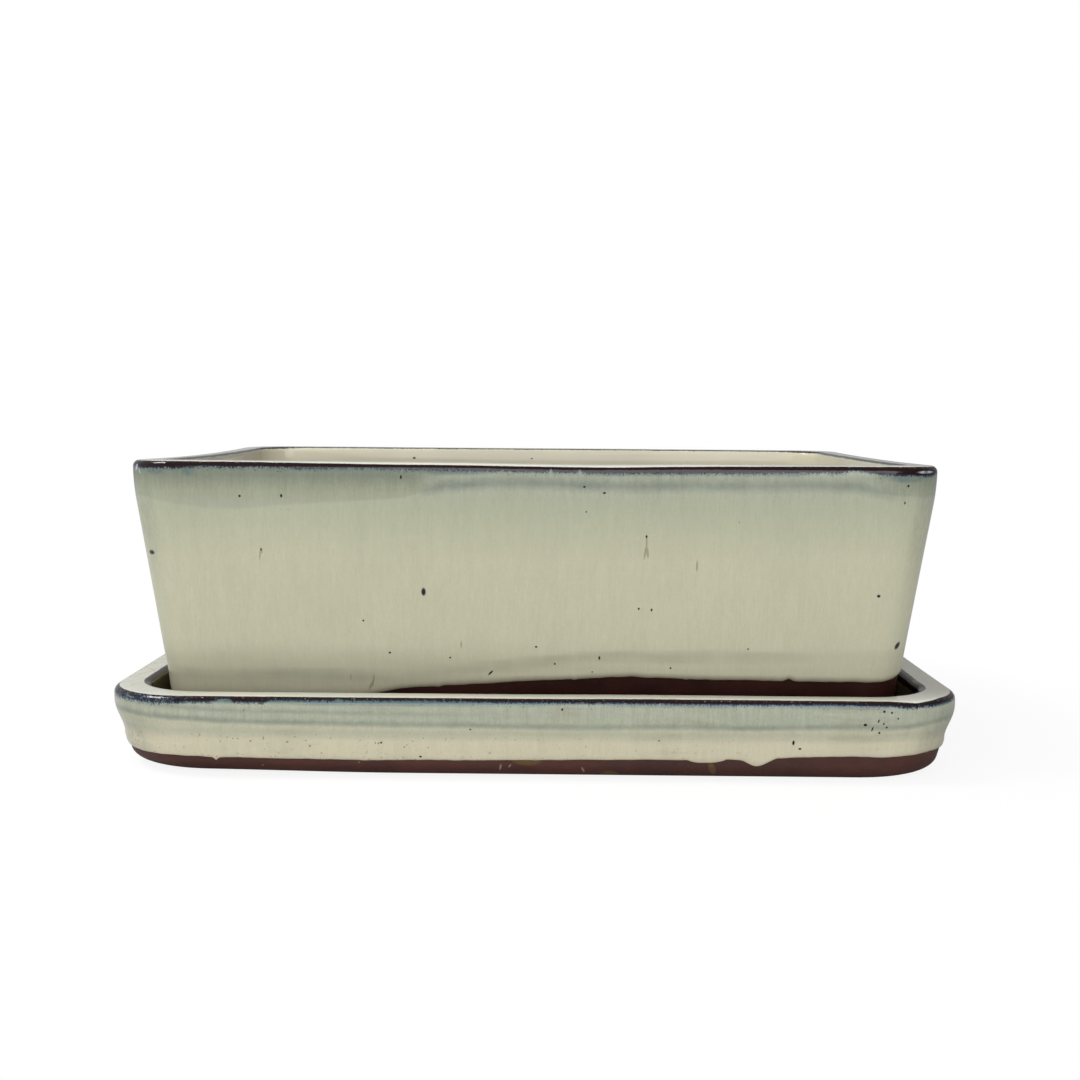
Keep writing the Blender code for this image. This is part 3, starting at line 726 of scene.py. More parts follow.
def pot_clay_mesh(pot, look):
    """Clay of the pot: recess, foot ring with its arches, outside, rim, inside, floor and holes."""
    sizes = pot.sizes
    count = len(pot.stations)
    ceiling = pot.height - sizes.foot_height
    floor_depth = ceiling - sizes.floor
    bottoms = [pot.height - arch(pot, station) for station in pot.stations]
    rounds = [min(sizes.foot_round, (bottom - ceiling) / ROUNDS_IN_FOOT) for bottom in bottoms]
    recess = sizes.foot_wall

    def foot(depths, shifts):
        sections = [pot.outside(pot.height, shift) for shift in shifts]
        spots = [spot(station, *section) for station, section in zip(pot.stations, sections)]
        return [pot.settle(x, y, pot.rim_level - depth) for (x, y), depth in zip(spots, depths)]

    mesh = bmesh.new()
    skin = Skin(mesh, foot([ceiling] * count, [recess + small * RECESS_START for small in rounds]))
    for into, up in reversed(quarter_round(1.0, 3)):
        depths = [ceiling + small * up for small in rounds]
        skin.add(foot(depths, [recess + small * into for small in rounds]))
    upper = [ceiling + small for small in rounds]
    lower = [bottom - small for bottom, small in zip(bottoms, rounds)]
    for depths in between(upper, lower, 3):
        skin.add(foot(depths, [recess] * count))
    for into, up in quarter_round(1.0, 3)[1:]:
        depths = [bottom - small * up for bottom, small in zip(bottoms, rounds)]
        skin.add(foot(depths, [recess - small * into for small in rounds]))
    skin.add(foot(bottoms, [(recess + look.thickness) / 2] * count))
    for into, up in reversed(quarter_round(1.0, 3)):
        depths = [bottom - small * up for bottom, small in zip(bottoms, rounds)]
        skin.add(foot(depths, [look.thickness + small * into for small in rounds]))
    close, lower_wall = pot.height - CLOSE_RINGS, pot.height - LOWER_RINGS
    lip, rim_end = sizes.lip_band + sizes.lip_blend, look.thickness + sizes.rim_round
    levels = between(lower, close, 6) + between(close, lower_wall, 8)
    levels += [MIDDLE_RING, lip, UNDER_LIP, UNDER_RIM, rim_end]
    skin.add(*rings(pot, pot.outside, levels, look.thickness))
    lining_end, wall_end = sizes.glazed_inside - LINING_OVERLAP, floor_depth - sizes.inner_fillet
    levels = [rim_end, UNDER_LIP, lining_end] + between(lining_end, wall_end, 12)
    skin.add(*rings(pot, pot.inside, levels, look.thickness))
    for away, above in quarter_round(sizes.inner_fillet, 8)[1:]:
        skin.add(ring(pot, pot.inside, floor_depth - above, look.thickness - away))
    low, high = pot.rim_level - ceiling, pot.rim_level - floor_depth
    places = [(side * sizes.drain_spacing / 2, 0.0, sizes.drain_diameter / 2) for side in (-1, 1)]
    for side in (-1, 1):
        for end in (-1, 1):
            x, y = side * sizes.wire_spacing_long / 2, end * sizes.wire_spacing_short / 2
            places.append((x, y, sizes.wire_diameter / 2))
    holes = [hole(mesh, x, y, radius, low, high) for x, y, radius in places]
    cap(mesh, skin.first, *(each.first for each in holes))
    cap(mesh, skin.edges, *(each.edges for each in holes))
    return mesh


def tray_glaze_mesh(tray, look):
    """Coat of the tray: all over the basin, over the rim and lip, and down the outside to the run edge."""
    sizes = tray.sizes
    floor_depth = sizes.height - sizes.basin_floor
    edge = run_edge(tray, tray.outside, sizes.height - TRAY_RUN_LEVEL, TRAY_RUN, TRAY_DRIPS, seed=6.4)
    mesh = bmesh.new()
    start, *end = coat_end(tray, tray.outside, edge, look)
    outer, top, inner = rim_rings(tray, sizes.rim_width, sizes.rim_round, sizes.rim_crown, 9, 6)
    skin = Skin(mesh, start)
    skin.mark("run")
    skin.add(*end)
    full = [depth - look.roll_height for depth in edge]
    rim_end = sizes.rim_round + sizes.rim_crown
    skin.add(*rings(tray, tray.outside, between(full, rim_end, 16)[:-1], 0.0))
    skin.add(*outer)
    skin.mark("outer")
    skin.mark_below("line", tray.stations, TRAY_LINE)
    skin.mark_below("line_top", tray.stations, TRAY_LINE_TOP)
    skin.mark_below("pool", tray.stations, TRAY_POOL)
    skin.add(*top, inner[0])
    skin.mark("inner")
    skin.add(*inner[1:])
    skin.add(*rings(tray, tray.inside, between(rim_end, floor_depth - sizes.basin_fillet, 4), 0.0))
    for away, above in quarter_round(sizes.basin_fillet, 6)[1:]:
        skin.add(ring(tray, tray.inside, floor_depth - above, -away))
    cap(mesh, skin.edges)
    skin.measure(tray.stations)
    back = Skin(mesh, ring(tray, tray.outside, edge, look.thickness + BACK_TUCK))
    under = look.thickness - COAT_GAP
    back_rim = look.thickness + sizes.rim_round
    neck = [min(depth - 2 * BACK_STEP, sizes.neck_depth) for depth in edge]
    levels = [[depth - BACK_STEP for depth in edge], neck] + between(neck, back_rim, 6)
    back.add(*rings(tray, tray.outside, levels, under))
    back.add(ring(tray, tray.inside, back_rim, under))
    for away, above in quarter_round(sizes.basin_fillet, 4):
        back.add(ring(tray, tray.inside, floor_depth - above + under, under - away))
    cap(mesh, back.edges)
    bmesh.ops.bridge_loops(mesh, edges=skin.first + back.first)
    return mesh


BASE_RINGS = (0.004, 0.0012)  # widths of the last rings of the tray's flat underside
NECK_RING = 0.0165  # depth of the ring in the middle of the tray's neck


def tray_clay_mesh(tray, look):
    """Clay of the tray: flat underside, rounded base, belly, and the rim and basin under the glaze."""
    sizes = tray.sizes
    floor_depth = sizes.height - sizes.basin_floor
    mesh = bmesh.new()
    base = sizes.height
    skin = Skin(mesh, ring(tray, tray.outside, base, look.thickness + sizes.base_margin))
    for width in BASE_RINGS:
        skin.add(ring(tray, tray.outside, base, look.thickness + width))
    rim_end = look.thickness + sizes.rim_round
    levels = [base - above for _, above in reversed(quarter_round(sizes.base_round, 8))]
    levels += between(base - sizes.base_round, NECK_RING, 10) + between(NECK_RING, rim_end, 5)
    skin.add(*rings(tray, tray.outside, levels, look.thickness))
    skin.add(ring(tray, tray.inside, rim_end, look.thickness))
    for away, above in quarter_round(sizes.basin_fillet, 4):
        skin.add(ring(tray, tray.inside, floor_depth - above + look.thickness, look.thickness - away))
    cap(mesh, skin.first)
    cap(mesh, skin.edges)
    return mesh


# Materials


class Nodes:
    """Short calls that build a tree of shader nodes."""

    def __init__(self, tree):
        self.tree = tree

    def node(self, kind, feeds=None, **settings):
        """A node with these settings. Feeds holds values or sockets to read, by an input's name or number."""
        made = self.tree.nodes.new("ShaderNode" + kind)
        for name, value in settings.items():
            setattr(made, name, value)
        for socket, value in (feeds or {}).items():
            self.feed(made.inputs[socket], value)
        return made

    def feed(self, socket, value):
        if isinstance(value, bpy.types.NodeSocket):
            self.tree.links.new(value, socket)
        else:
            socket.default_value = value


CELL_BEND = (0.0004, -0.0004, 0.0004)  # how far a noise of 1 moves a cell's edge, in metres
NO_DEPTH = 1000.0  # a mark's half depth in metres, so long that only its place seen from the front counts


class Shading(Nodes):
    """One material and the patterns that make its colour, roughness and relief."""

    def __init__(self, name):
        self.material = bpy.data.materials.new(name)
        self.material.use_nodes = True
        super().__init__(self.material.node_tree)
        self.shader = self.tree.nodes["Principled BSDF"]
        self.place = self.node("TexCoord").outputs["Object"]
        self.colour = None

    def attribute(self, name):
        return self.node("Attribute", attribute_name=name).outputs["Fac"]

    def math(self, operation, *values):
        return self.node("Math", dict(enumerate(values)), operation=operation).outputs[0]

    def add(self, first, *others):
        for other in others:
            first = self.math("ADD", first, other)
        return first

    def times(self, first, *others):
        for other in others:
            first = self.math("MULTIPLY", first, other)
        return first

    def most(self, first, *others):
        for other in others:
            first = self.math("MAXIMUM", first, other)
        return first

    def rest(self, share):
        """What a share leaves of 1."""
        return self.math("SUBTRACT", 1.0, share)

    def weigh(self, first, *others):
        """The sum of pairs of a value and its weight."""
        total = self.times(*first)
        for pair in others:
            total = self.add(total, self.times(*pair))
        return total

    def stretch(self, scale, offset=(0.0, 0.0, 0.0)):
        feeds = {"Vector": self.place, "Location": offset, "Scale": scale}
        return self.node("Mapping", feeds, vector_type="POINT").outputs[0]

    def noise(self, scale, detail=2.0, rough=0.5, offset=(0.0, 0.0, 0.0)):
        """Noise from about -1 to 1 with the given number of waves in a metre along each axis."""
        scale = scale if isinstance(scale, tuple) else (scale,) * 3
        place = self.stretch(scale, offset)
        made = self.node("TexNoise", {"Vector": place, "Scale": 1.0, "Detail": detail, "Roughness": rough})
        return self.math("MULTIPLY_ADD", made.outputs[0], 4.0, -2.0)

    def between(self, value, start, end, low=0.0, high=1.0):
        """A smooth step of value from low at start to high at end."""
        feeds = {"Value": value, "From Min": start, "From Max": end, "To Min": low, "To Max": high}
        return self.node("MapRange", feeds, interpolation_type="SMOOTHSTEP").outputs[0]

    def band(self, value, middle, half_width):
        """1 in the middle of a band, 0 outside it."""
        away = self.math("ABSOLUTE", self.add(value, -middle))
        return self.between(away, 0.0, half_width, 1.0, 0.0)

    def ramp(self, value, stops, look):
        """Colours of a look by distance in millimetres, blended between its stops."""
        longest = stops[-1][0]
        made = self.node("ValToRGB", {0: self.math("DIVIDE", value, longest)})
        points = made.color_ramp.elements
        while len(points) < len(stops):
            points.new(1.0)
        for point, (distance, tint_name) in zip(points, stops):
            point.position = distance / longest
            point.color = (*getattr(look, tint_name), 1.0)
        return made.outputs[0]

    def mix(self, share, first, second, blend="MIX"):
        made = self.node("Mix", data_type="RGBA", blend_type=blend)
        for socket, value in zip((made.inputs[0], made.inputs[6], made.inputs[7]), (share, first, second)):
            if not isinstance(value, (bpy.types.NodeSocket, float)):
                value = (*value[:3], 1.0)
            self.feed(socket, value)
        return made.outputs[2]

    def darkened(self, colour, brightness):
        """A colour times a brightness."""
        grey = self.node("CombineColor", dict.fromkeys(range(3), brightness))
        return self.mix(1.0, colour, grey.outputs[0], "MULTIPLY")

    def paint(self, share, colour):
        """Lays a colour over the material's colour, by a share from 0 to 1."""
        self.colour = self.mix(share, self.colour, colour)

    def cells(self, scale, feature="F1", upright=1.0, bend=None):
        """Cells with the given number in a metre. A noise bends their edges by up to about a millimetre."""
        made = self.node("TexVoronoi", {"Scale": scale}, feature=feature)
        place = self.stretch((1.0, 1.0, upright))
        if bend:
            feeds = {0: bend, 1: CELL_BEND, 2: place}
            place = self.node("VectorMath", feeds, operation="MULTIPLY_ADD").outputs[0]
        self.feed(made.inputs["Vector"], place)
        return made.outputs

    def specks(self, scale, radius, share, upright=1.0, bend=None):
        """Specks of a radius in millimetres in a share of the cells. An upright below 1 makes tall dashes."""
        cells = self.cells(scale, upright=upright, bend=bend)
        draw = self.node("SeparateColor", {0: cells["Color"]})
        size = self.times(self.between(draw.outputs[1], 0.0, 1.0, 0.4, 1.0), radius * MM * scale)
        inside = self.between(self.math("DIVIDE", cells["Distance"], size), 0.7, 1.1, 1.0, 0.0)
        return self.times(inside, self.math("LESS_THAN", draw.outputs[0], share))

    def front_mark(self, x, z, half_width, half_height, lean=0.0):
        """A spot painted on the front at a place in millimetres, leaning to the right by an angle."""
        away = self.node("Mapping", {
            "Vector": self.place, "Location": (x * MM, 0.0, z * MM), "Rotation": (0.0, lean, 0.0),
            "Scale": (half_width * MM, NO_DEPTH, half_height * MM),
        }, vector_type="TEXTURE")
        size = self.node("VectorMath", {0: away.outputs[0]}, operation="LENGTH")
        return self.between(size.outputs["Value"], 0.6, 1.25, 1.0, 0.0)

    def front_marks(self, marks, facing="LESS_THAN"):
        """All spots of a list, only on the front half, or with GREATER_THAN only on the back half."""
        inside = self.front_mark(*marks[0])
        for mark in marks[1:]:
            inside = self.most(inside, self.front_mark(*mark))
        split = self.node("SeparateXYZ", {0: self.place})
        return self.times(inside, self.math(facing, split.outputs[1], 0.0))

    def finish(self, roughness, height, specular):
        """Height is in millimetres."""
        self.feed(self.shader.inputs["Base Color"], self.colour)
        self.feed(self.shader.inputs["Specular IOR Level"], specular)
        self.feed(self.shader.inputs["Roughness"], roughness)
        relief = self.node("Bump", {"Distance": MM, "Height": height})
        self.feed(self.shader.inputs["Normal"], relief.outputs[0])
        return self.material


# Marks of the firing, and painted highlights, as seen from the front: place across, height, half width
# and half height in millimetres, and lean in radians where a mark leans

POT_SPOTS = (
    (-41.0, 67.9, 0.9, 1.6), (-143.7, 81.6, 1.4, 0.9), (138.0, 48.2, 0.9, 1.7, 0.6), (42.0, 89.6, 0.4, 0.6),
    (129.1, 67.8, 0.7, 0.6), (-101.4, 83.6, 0.3, 0.6), (-108.6, 103.6, 0.5, 0.5), (-93.2, 103.8, 0.5, 0.7),
    (-48.9, 111.1, 0.4, 0.8), (-63.8, 56.6, 0.4, 0.4), (-54.0, 44.2, 0.5, 0.4), (18.7, 108.0, 0.5, 0.4),
    (26.1, 105.8, 0.6, 0.4), (19.5, 98.7, 0.3, 0.3), (39.7, 62.1, 0.4, 0.5), (44.5, 61.7, 0.4, 0.6),
    (137.8, 109.3, 0.5, 0.5), (136.8, 103.0, 0.3, 0.6), (-31.2, 42.5, 0.4, 0.4), (1.3, 47.0, 0.5, 0.4),
    (-15.9, 36.7, 0.4, 1.3, 0.8), (8.4, 40.4, 0.4, 0.4), (25.2, 42.9, 0.4, 0.8), (22.6, 37.4, 0.3, 0.3),
    (52.2, 39.2, 0.4, 0.4), (81.2, 46.9, 0.3, 0.4),
)
POT_STREAKS = (
    (42.1, 86.8, 0.3, 4.2), (41.6, 83.4, 0.4, 2.6, 0.1), (42.6, 83.4, 0.4, 2.2, -0.08),
    (-101.8, 81.8, 0.3, 2.4, 0.15), (-101.1, 82.9, 0.3, 1.0), (61.0, 78.7, 0.4, 2.2),
    (-27.0, 47.6, 0.3, 1.4), (-61.2, 31.5, 0.5, 2.2, 0.45), (-60.4, 33.2, 0.3, 2.6, 0.12),
    (-69.0, 34.5, 0.2, 1.4, 0.1),
)
# Painted highlights: glints of light on the rim's front corners, not marks of the firing
POT_PAINTED_HIGHLIGHTS = (
    (-148.6, 113.6, 0.6, 1.4, 0.35), (-147.0, 112.2, 0.3, 1.1, -0.3), (144.8, 114.3, 3.6, 0.5),
)
POT_INNER_SPOTS = (
    (-64.8, 110.6, 0.8, 0.6), (-4.0, 110.8, 0.5, 0.4),
)
POT_BLOOMS = (
    (-127.5, 113.0, 2.4, 2.2), (137.5, 112.6, 7.5, 2.2), (-140.0, 112.6, 3.6, 1.2),
)
TRAY_SPOTS = (
    (122.3, 22.1, 0.7, 0.6), (127.7, 19.0, 0.4, 0.5), (125.0, 20.5, 0.3, 1.0, 0.3),
    (127.1, 23.6, 0.3, 0.7, 0.2), (129.0, 22.6, 0.3, 0.5), (130.2, 21.2, 0.4, 0.4), (96.5, 14.7, 0.5, 1.0),
    (129.0, 27.2, 0.5, 0.5), (131.8, 26.8, 0.4, 0.5), (134.2, 24.6, 0.3, 0.4), (11.2, 26.8, 0.4, 0.5),
    (-41.0, 7.9, 0.5, 0.4), (-55.5, 13.2, 0.4, 0.4), (47.0, 15.0, 0.3, 0.3), (-22.5, 18.8, 0.4, 0.3),
    (99.0, 12.4, 0.6, 0.4),
)
CLAY_STAINS = (
    (-1.5, 6.2, 5.2, 1.6), (29.0, 1.2, 3.4, 1.4), (67.0, 4.2, 3.0, 1.2, 1.2), (148.2, 10.6, 1.2, 1.6, 0.5),
)
CLAY_SCRATCHES = (
    (-11.5, 3.8, 0.4, 1.4, 0.2), (-8.0, 4.4, 0.3, 0.9, 0.6), (19.2, 3.0, 0.4, 1.3, -0.4),
    (-100.0, 3.6, 0.3, 0.3), (-64.0, 5.2, 0.3, 0.3),
)

# The glaze's noises: waves in a metre along each axis, detail, roughness and offset

GLAZE_NOISES = {
    "streaks": ((260.0, 260.0, 9.0), 4.0, 0.6),
    "hairs": ((1200.0, 1200.0, 70.0), 3.0, 0.6),
    "clouds": ((15.0, 15.0, 10.0), 3.0, 0.55),
    "tones": ((34.0, 34.0, 16.0), 3.0, 0.55, (3.0, 8.0, 1.0)),
    "wander": ((26.0, 26.0, 3.0), 3.0, 0.55, (4.0, 1.0, 2.0)),
    "patches": ((75.0, 75.0, 9.0), 3.0, 0.6, (9.0, 3.0, 5.0)),
    "grains": ((1500.0, 1500.0, 1100.0), 2.0, 0.6),
    "mottle": ((420.0, 420.0, 260.0), 3.0, 0.65, (1.0, 5.0, 2.0)),
    "strands": ((170.0, 170.0, 1500.0), 2.0, 0.6, (7.0, 2.0, 4.0)),
    "beds": ((26.0, 26.0, 230.0), 3.0, 0.6, (6.0, 6.0, 2.0)),
}

# Where the glazes of pot and tray differ. Distances are millimetres down from the rim's outer edge, or in
# from its inner edge where the name starts with inner, or up from the run edge. The rest are shares.

POT_BANDS = {
    "open": ((3.0, "teal"), (4.7, "mist"), (10.0, "mist"), (17.0, "cool"), (38.0, "warm")),
    "banded": ((3.6, "moss"), (6.0, "moss"), (12.0, "sage"), (19.0, "mist")),
    "cloud_reach": 2.5, "rough_top": 2.2, "craze": 0.15, "lining": "lining",
    "thick_from": 4.8, "ragged": 0.3, "fringe": 1.4, "teal": 0.5, "open_patches": 0.35, "core_to": 2.8,
    "crystals": 1.2, "run_reach": 3.2, "run_dark": 0.75,
    "inner_from": 0.3, "inner_soft": 0.5, "inner_to": 1.3, "inner_more": 0.6, "inner_blue": 0.6,
}
TRAY_BANDS = {
    "open": ((3.4, "teal"), (4.6, "mist"), (30.0, "mist")),
    "cloud_reach": 0.4, "rough_top": 2.4, "craze": 0.55, "lining": "basin",
    "thick_from": 3.6, "ragged": 0.7, "fringe": 0.9, "teal": 0.8, "open_patches": 0.85, "core_to": 3.6,
    "crystals": 1.9, "run_reach": 1.2, "run_dark": 0.30,
    # inner_more widens the inner dark line on the right end wall only: painted shade of the pot
    "inner_from": -0.3, "inner_soft": 0.6, "inner_to": 2.4, "inner_more": 2.6, "inner_blue": 0.0,
}


class Glaze(Shading):
    """Cream glaze that breaks along the rims. Each method paints one thing over what is there already.
    Distances from the marks of the skin are in millimetres, places along the front and heights in metres."""

    def __init__(self, name, look, bands):
        super().__init__(name)
        self.look = look
        self.bands = bands
        self.down = self.times(self.attribute("outer"), -1.0)
        self.inner, self.run, self.corner = (self.attribute(part) for part in ("inner", "run", "corner"))
        for part, values in GLAZE_NOISES.items():
            setattr(self, part, self.noise(*values))
        split = self.node("SeparateXYZ", {0: self.place})
        self.along, self.upward = split.outputs[0], split.outputs[2]
        clouded = self.weigh((self.clouds, bands["cloud_reach"]), (self.wander, 0.5))
        self.soft_down = self.add(self.down, clouded)
        self.colour = self.ramp(self.soft_down, bands["open"], look)

    def second_dip(self):
        """The pot's second dip, banded down to its wavy lower edge, where the glaze has pooled."""
        dip = self.attribute("dip")
        depth_of_dip = self.add(dip, self.down)
        banded = self.between(self.add(dip, self.times(self.patches, 0.25)), -0.8, 0.6)
        banded = self.times(banded, self.between(depth_of_dip, 9.0, 13.5, 0.25, 1.0))
        bands = self.ramp(self.add(self.down, self.times(self.patches, 0.5)), self.bands["banded"], self.look)
        self.paint(banded, bands)
        pooled = self.band(self.add(dip, self.weigh((self.wander, 0.35), (self.mottle, 0.5))), 0.4, 3.6)
        self.pooled(self.times(pooled, self.between(depth_of_dip, 10.2, 13.0, 1.0, 0.0)))

    def neck_and_belly(self):
        """The tray's line of pooled glaze, paler glaze below it, and clouds of cream and rust."""
        pool = self.add(self.attribute("pool"), self.times(self.wander, 0.35))
        self.paint(self.between(pool, 0.2, -1.8), self.look.pale)
        self.paint(self.times(self.band(self.soft_down, 15.1, 1.6), 0.35), self.look.mist)
        self.paint(self.between(self.soft_down, 16.2, 19.2), self.look.belly)
        self.paint(self.between(self.add(self.mottle, self.patches), 0.2, 1.6, 0.0, 0.30), self.look.cool)
        self.paint(self.between(self.add(self.beds, self.tones), 0.3, 1.8, 0.0, 0.26), self.look.rust)
        pool = self.add(pool, self.times(self.mottle, 0.3))
        pooled = self.times(self.band(pool, 0.0, 2.0), 0.8)
        upper = self.times(self.band(pool, 4.2, 1.5), self.between(self.along, -0.005, -0.05, 0.0, 0.6))
        self.pooled(self.most(pooled, upper))

    def pooled(self, share):
        streaky = self.between(self.weigh((self.patches, 1.0), (self.hairs, 0.5)), -1.2, 1.0, 0.45, 1.0)
        self.paint(self.times(share, streaky), self.look.blue_grey)

    def tone(self, low):
        """Greener corners and clouds, and the fine streaks of the run glaze, with beds across it low down."""
        corners = self.times(
            self.between(self.corner, 0.70, 1.0), self.between(self.mottle, -1.5, 1.5, 0.0, 0.45),
            self.between(self.down, 30.0, 55.0, 1.0, 0.2), self.between(self.down, 3.0, 8.0)
        )
        self.paint(corners, self.look.moss)
        clouds = self.times(self.between(self.tones, 0.0, 1.6, 0.0, 0.5), self.between(self.down, 10.0, 16.0))
        self.paint(clouds, self.look.cool)
        shade = self.weigh(
            (self.streaks, 0.030), (self.hairs, 0.034), (self.mottle, 0.016), (self.tones, 0.014),
            (self.grains, 0.030)
        )
        shade = self.times(shade, self.between(self.down, 18.0, 9.0, 1.0, self.bands["rough_top"]))
        shade = self.add(shade, self.times(self.beds, self.between(low, 0.0, 1.0, 0.008, 0.034)))
        self.colour = self.darkened(self.colour, self.add(shade, 0.985))

    def break_line(self, blooms=()):
        """The line along the rim: a teal fringe, navy granules, a core of clay colour and pale dots that are
        partly crystals and partly painted highlights. Where it is thick it opens, and its core is loose."""
        bands, look = self.bands, self.look
        self.line = self.attribute("line")
        below = self.times(self.line, -1.0)
        thick = self.between(self.add(self.line, self.down), bands["thick_from"], bands["thick_from"] + 0.8)
        ragged = self.times(self.mottle, self.add(self.times(thick, bands["ragged"]), 0.25))
        grainy = self.add(below, self.times(self.grains, 0.6), ragged)
        fringe = self.between(grainy, 0.0, bands["fringe"], bands["teal"], 0.0)
        if blooms:
            bloom = self.front_marks(blooms)
            bloom = self.times(bloom, self.between(self.add(self.grains, self.mottle), -1.0, 0.8, 0.25, 0.8))
            fringe = self.most(fringe, bloom)
        self.paint(fringe, look.teal)
        flecks = self.most(self.specks(640.0, 0.36, 0.5), self.specks(360.0, 0.42, 0.3))
        near = self.between(self.add(below, self.times(self.patches, 0.5)), 0.2, 2.8, 0.6, 0.0)
        self.paint(self.times(flecks, near), look.navy)
        navy = self.between(grainy, -0.35, 0.35, 1.0, 0.0)
        holes = self.weigh((self.mottle, 1.0), (self.hairs, 0.3))
        holes = self.between(holes, 0.25, 0.8, 0.0, bands["open_patches"])
        faint = self.between(self.grains, -1.0, 1.0, 0.25, 0.75)
        faint = self.times(faint, self.between(self.down, 3.4, 5.0))
        navy = self.times(navy, self.rest(self.times(thick, self.most(holes, faint))))
        flecked = self.between(self.weigh((self.grains, 1.0), (self.strands, 0.5)), -0.1, 1.0, 0.0, 0.8)
        self.paint(navy, self.mix(self.times(thick, flecked), look.navy, look.teal))
        core = self.between(self.add(below, self.times(self.grains, 0.2)), -0.75, -0.35, 1.0, 0.0)
        loose = self.between(self.mottle, -0.6, 0.2, 0.0, 0.9)
        loose = self.most(loose, self.between(self.down, bands["core_to"], bands["core_to"] + 0.8))
        core = self.times(core, self.rest(self.times(thick, loose)))
        self.paint(core, look.brown)
        self.sparkle = self.noise((1500.0, 1500.0, 2300.0), 1.0, 0.5, (5.0, 5.0, 5.0))
        # Pale dots, partly crystals and partly painted highlights: glints of light on the line
        crystals = self.between(self.sparkle, 0.5, 1.0, 0.0, 0.6)
        crystals = self.times(self.band(self.down, bands["crystals"], 0.6), crystals, core)
        glints = self.between(self.sparkle, 0.65, 1.1, 0.0, 0.85)
        glints = self.times(thick, navy, self.most(glints, self.between(self.strands, 0.55, 1.0, 0.0, 0.75)))
        self.paint(self.most(crystals, glints), look.glint)

    def rim_top(self):
        """Thick pale glaze on top of the rim, crazed at its left end."""
        edge = self.times(self.attribute("line_top"), -1.0)
        edge = self.add(edge, self.times(self.add(self.grains, self.patches), 0.10))
        cracks = self.cells(120.0, "DISTANCE_TO_EDGE", bend=self.noise(140.0, 2.0))["Distance"]
        craze = self.between(cracks, 0.015, 0.05, 1.0, 0.0)
        craze = self.times(craze, self.between(self.tones, -0.8, 0.6, 0.0, self.bands["craze"]))
        craze = self.times(craze, self.between(self.along, -0.128, -0.145))
        rim = self.mix(craze, self.look.rim, self.look.rust)
        tone = self.weigh((self.mottle, 0.025), (self.grains, 0.02), (self.patches, 0.015))
        rim = self.darkened(rim, self.add(tone, 0.985))
        self.paint(self.between(edge, -0.2, 0.15, 1.0, 0.0), rim)

    def inside(self, end_place):
        """The lining below the rim, and the dark line along the rim's inner edge, wider on the end walls.
        On the tray only the right end wall gets the wider line: painted shade of the pot over the basin.
        """
        bands, look = self.bands, self.look
        place = self.add(self.inner, self.times(self.add(self.grains, self.patches), 0.25))
        end_walls = self.between(end_place, 0.120, 0.134)
        cloudy = self.between(self.clouds, -1.0, 1.0, 0.0, 0.2)
        lining = self.mix(cloudy, getattr(look, bands["lining"]), look.shade)
        self.paint(self.between(place, 1.5, 2.5), lining)
        end_depth = self.add(place, self.times(end_walls, -bands["inner_more"]))
        line = self.between(place, bands["inner_from"], bands["inner_from"] + bands["inner_soft"])
        line = self.times(line, self.between(end_depth, bands["inner_to"], bands["inner_to"] + 0.7, 1.0, 0.0))
        dark = self.mix(self.between(self.grains, -0.5, 1.0, 0.0, bands["inner_blue"]), look.brown, look.teal)
        self.paint(self.times(line, self.between(self.patches, -1.2, -0.2, 0.7, 1.0)), dark)

    def shiny_corners(self):
        """Painted highlights in the pot's inner corners, just below the rim, in the rim's pale colour."""
        corner_highlight = self.band(self.add(self.math("ABSOLUTE", self.along), -0.1265), 0.0, 0.0060)
        corner_highlight = self.times(corner_highlight, self.between(self.add(self.sparkle, self.mottle), 0.0, 0.7))
        self.paint(self.times(corner_highlight, self.band(self.inner, 3.0, 3.0)), self.look.rim)

    def thin_foot(self):
        """Darker glaze low on the pot, partly thin glaze and partly painted shade under the tray's rim,
        and a band of painted shade along the groove that rises to the right.
        """
        low = self.between(self.add(self.upward, self.times(self.tones, 0.0015)), 0.050, 0.038)
        low = self.times(low, self.between(self.along, -0.08, 0.06, 0.31, 0.1395))
        self.paint(self.times(low, self.between(self.down, 20.0, 40.0)), self.look.shade)
        # Painted shade of the throwing groove: a dark band along it, greener at the left
        level = self.between(self.along, -0.055, 0.040, 0.0354, 0.0440)
        above = self.math("SUBTRACT", self.add(self.upward, self.times(self.beds, 0.0012)), level)
        groove = self.times(self.band(above, 0.0, 0.0038), self.between(self.along, 0.07, 0.12, 1.0, 0.25))
        groove = self.times(groove, self.between(self.add(self.tones, self.patches), -1.5, 1.0, 0.12, 0.42))
        left = self.between(self.add(self.along, self.times(self.patches, 0.01)), -0.03, -0.09)
        deep = self.mix(left, self.look.shade, self.look.moss)
        self.paint(self.times(groove, self.between(self.down, 20.0, 40.0)), deep)

    def run_end(self):
        """Darker glaze just above the run edge, fainter at the left end: partly thin glaze, partly painted
        shade.
        """
        near = self.add(self.run, self.times(self.patches, 0.35))
        near = self.between(near, 0.4, self.bands["run_reach"], self.bands["run_dark"], 0.0)
        self.paint(self.times(near, self.between(self.along, -0.118, -0.100, 0.4, 1.0)), self.look.shade)

    def pits(self):
        """Rusty pits low on the tray, most of them on the left."""
        pits = self.most(self.specks(300.0, 0.48, 0.95, bend=self.mottle), self.specks(620.0, 0.34, 0.9))
        pits = self.times(pits, self.between(self.down, 14.0, 18.0, 0.0, 0.62))
        self.paint(self.times(pits, self.between(self.along, 0.06, -0.08, 0.3, 1.0)), self.look.rust)

    def dots(self):
        """Iron dots all over, drawn by chance, the tall ones faintest."""
        large = self.times(self.specks(62.0, 0.50, 0.10), 0.9)
        small = self.times(self.specks(330.0, 0.17, 0.16), 0.6)
        tall = self.times(self.specks(150.0, 0.22, 0.7, upright=0.3), 0.45)
        self.paint(self.most(large, self.most(small, tall)), self.look.speck)

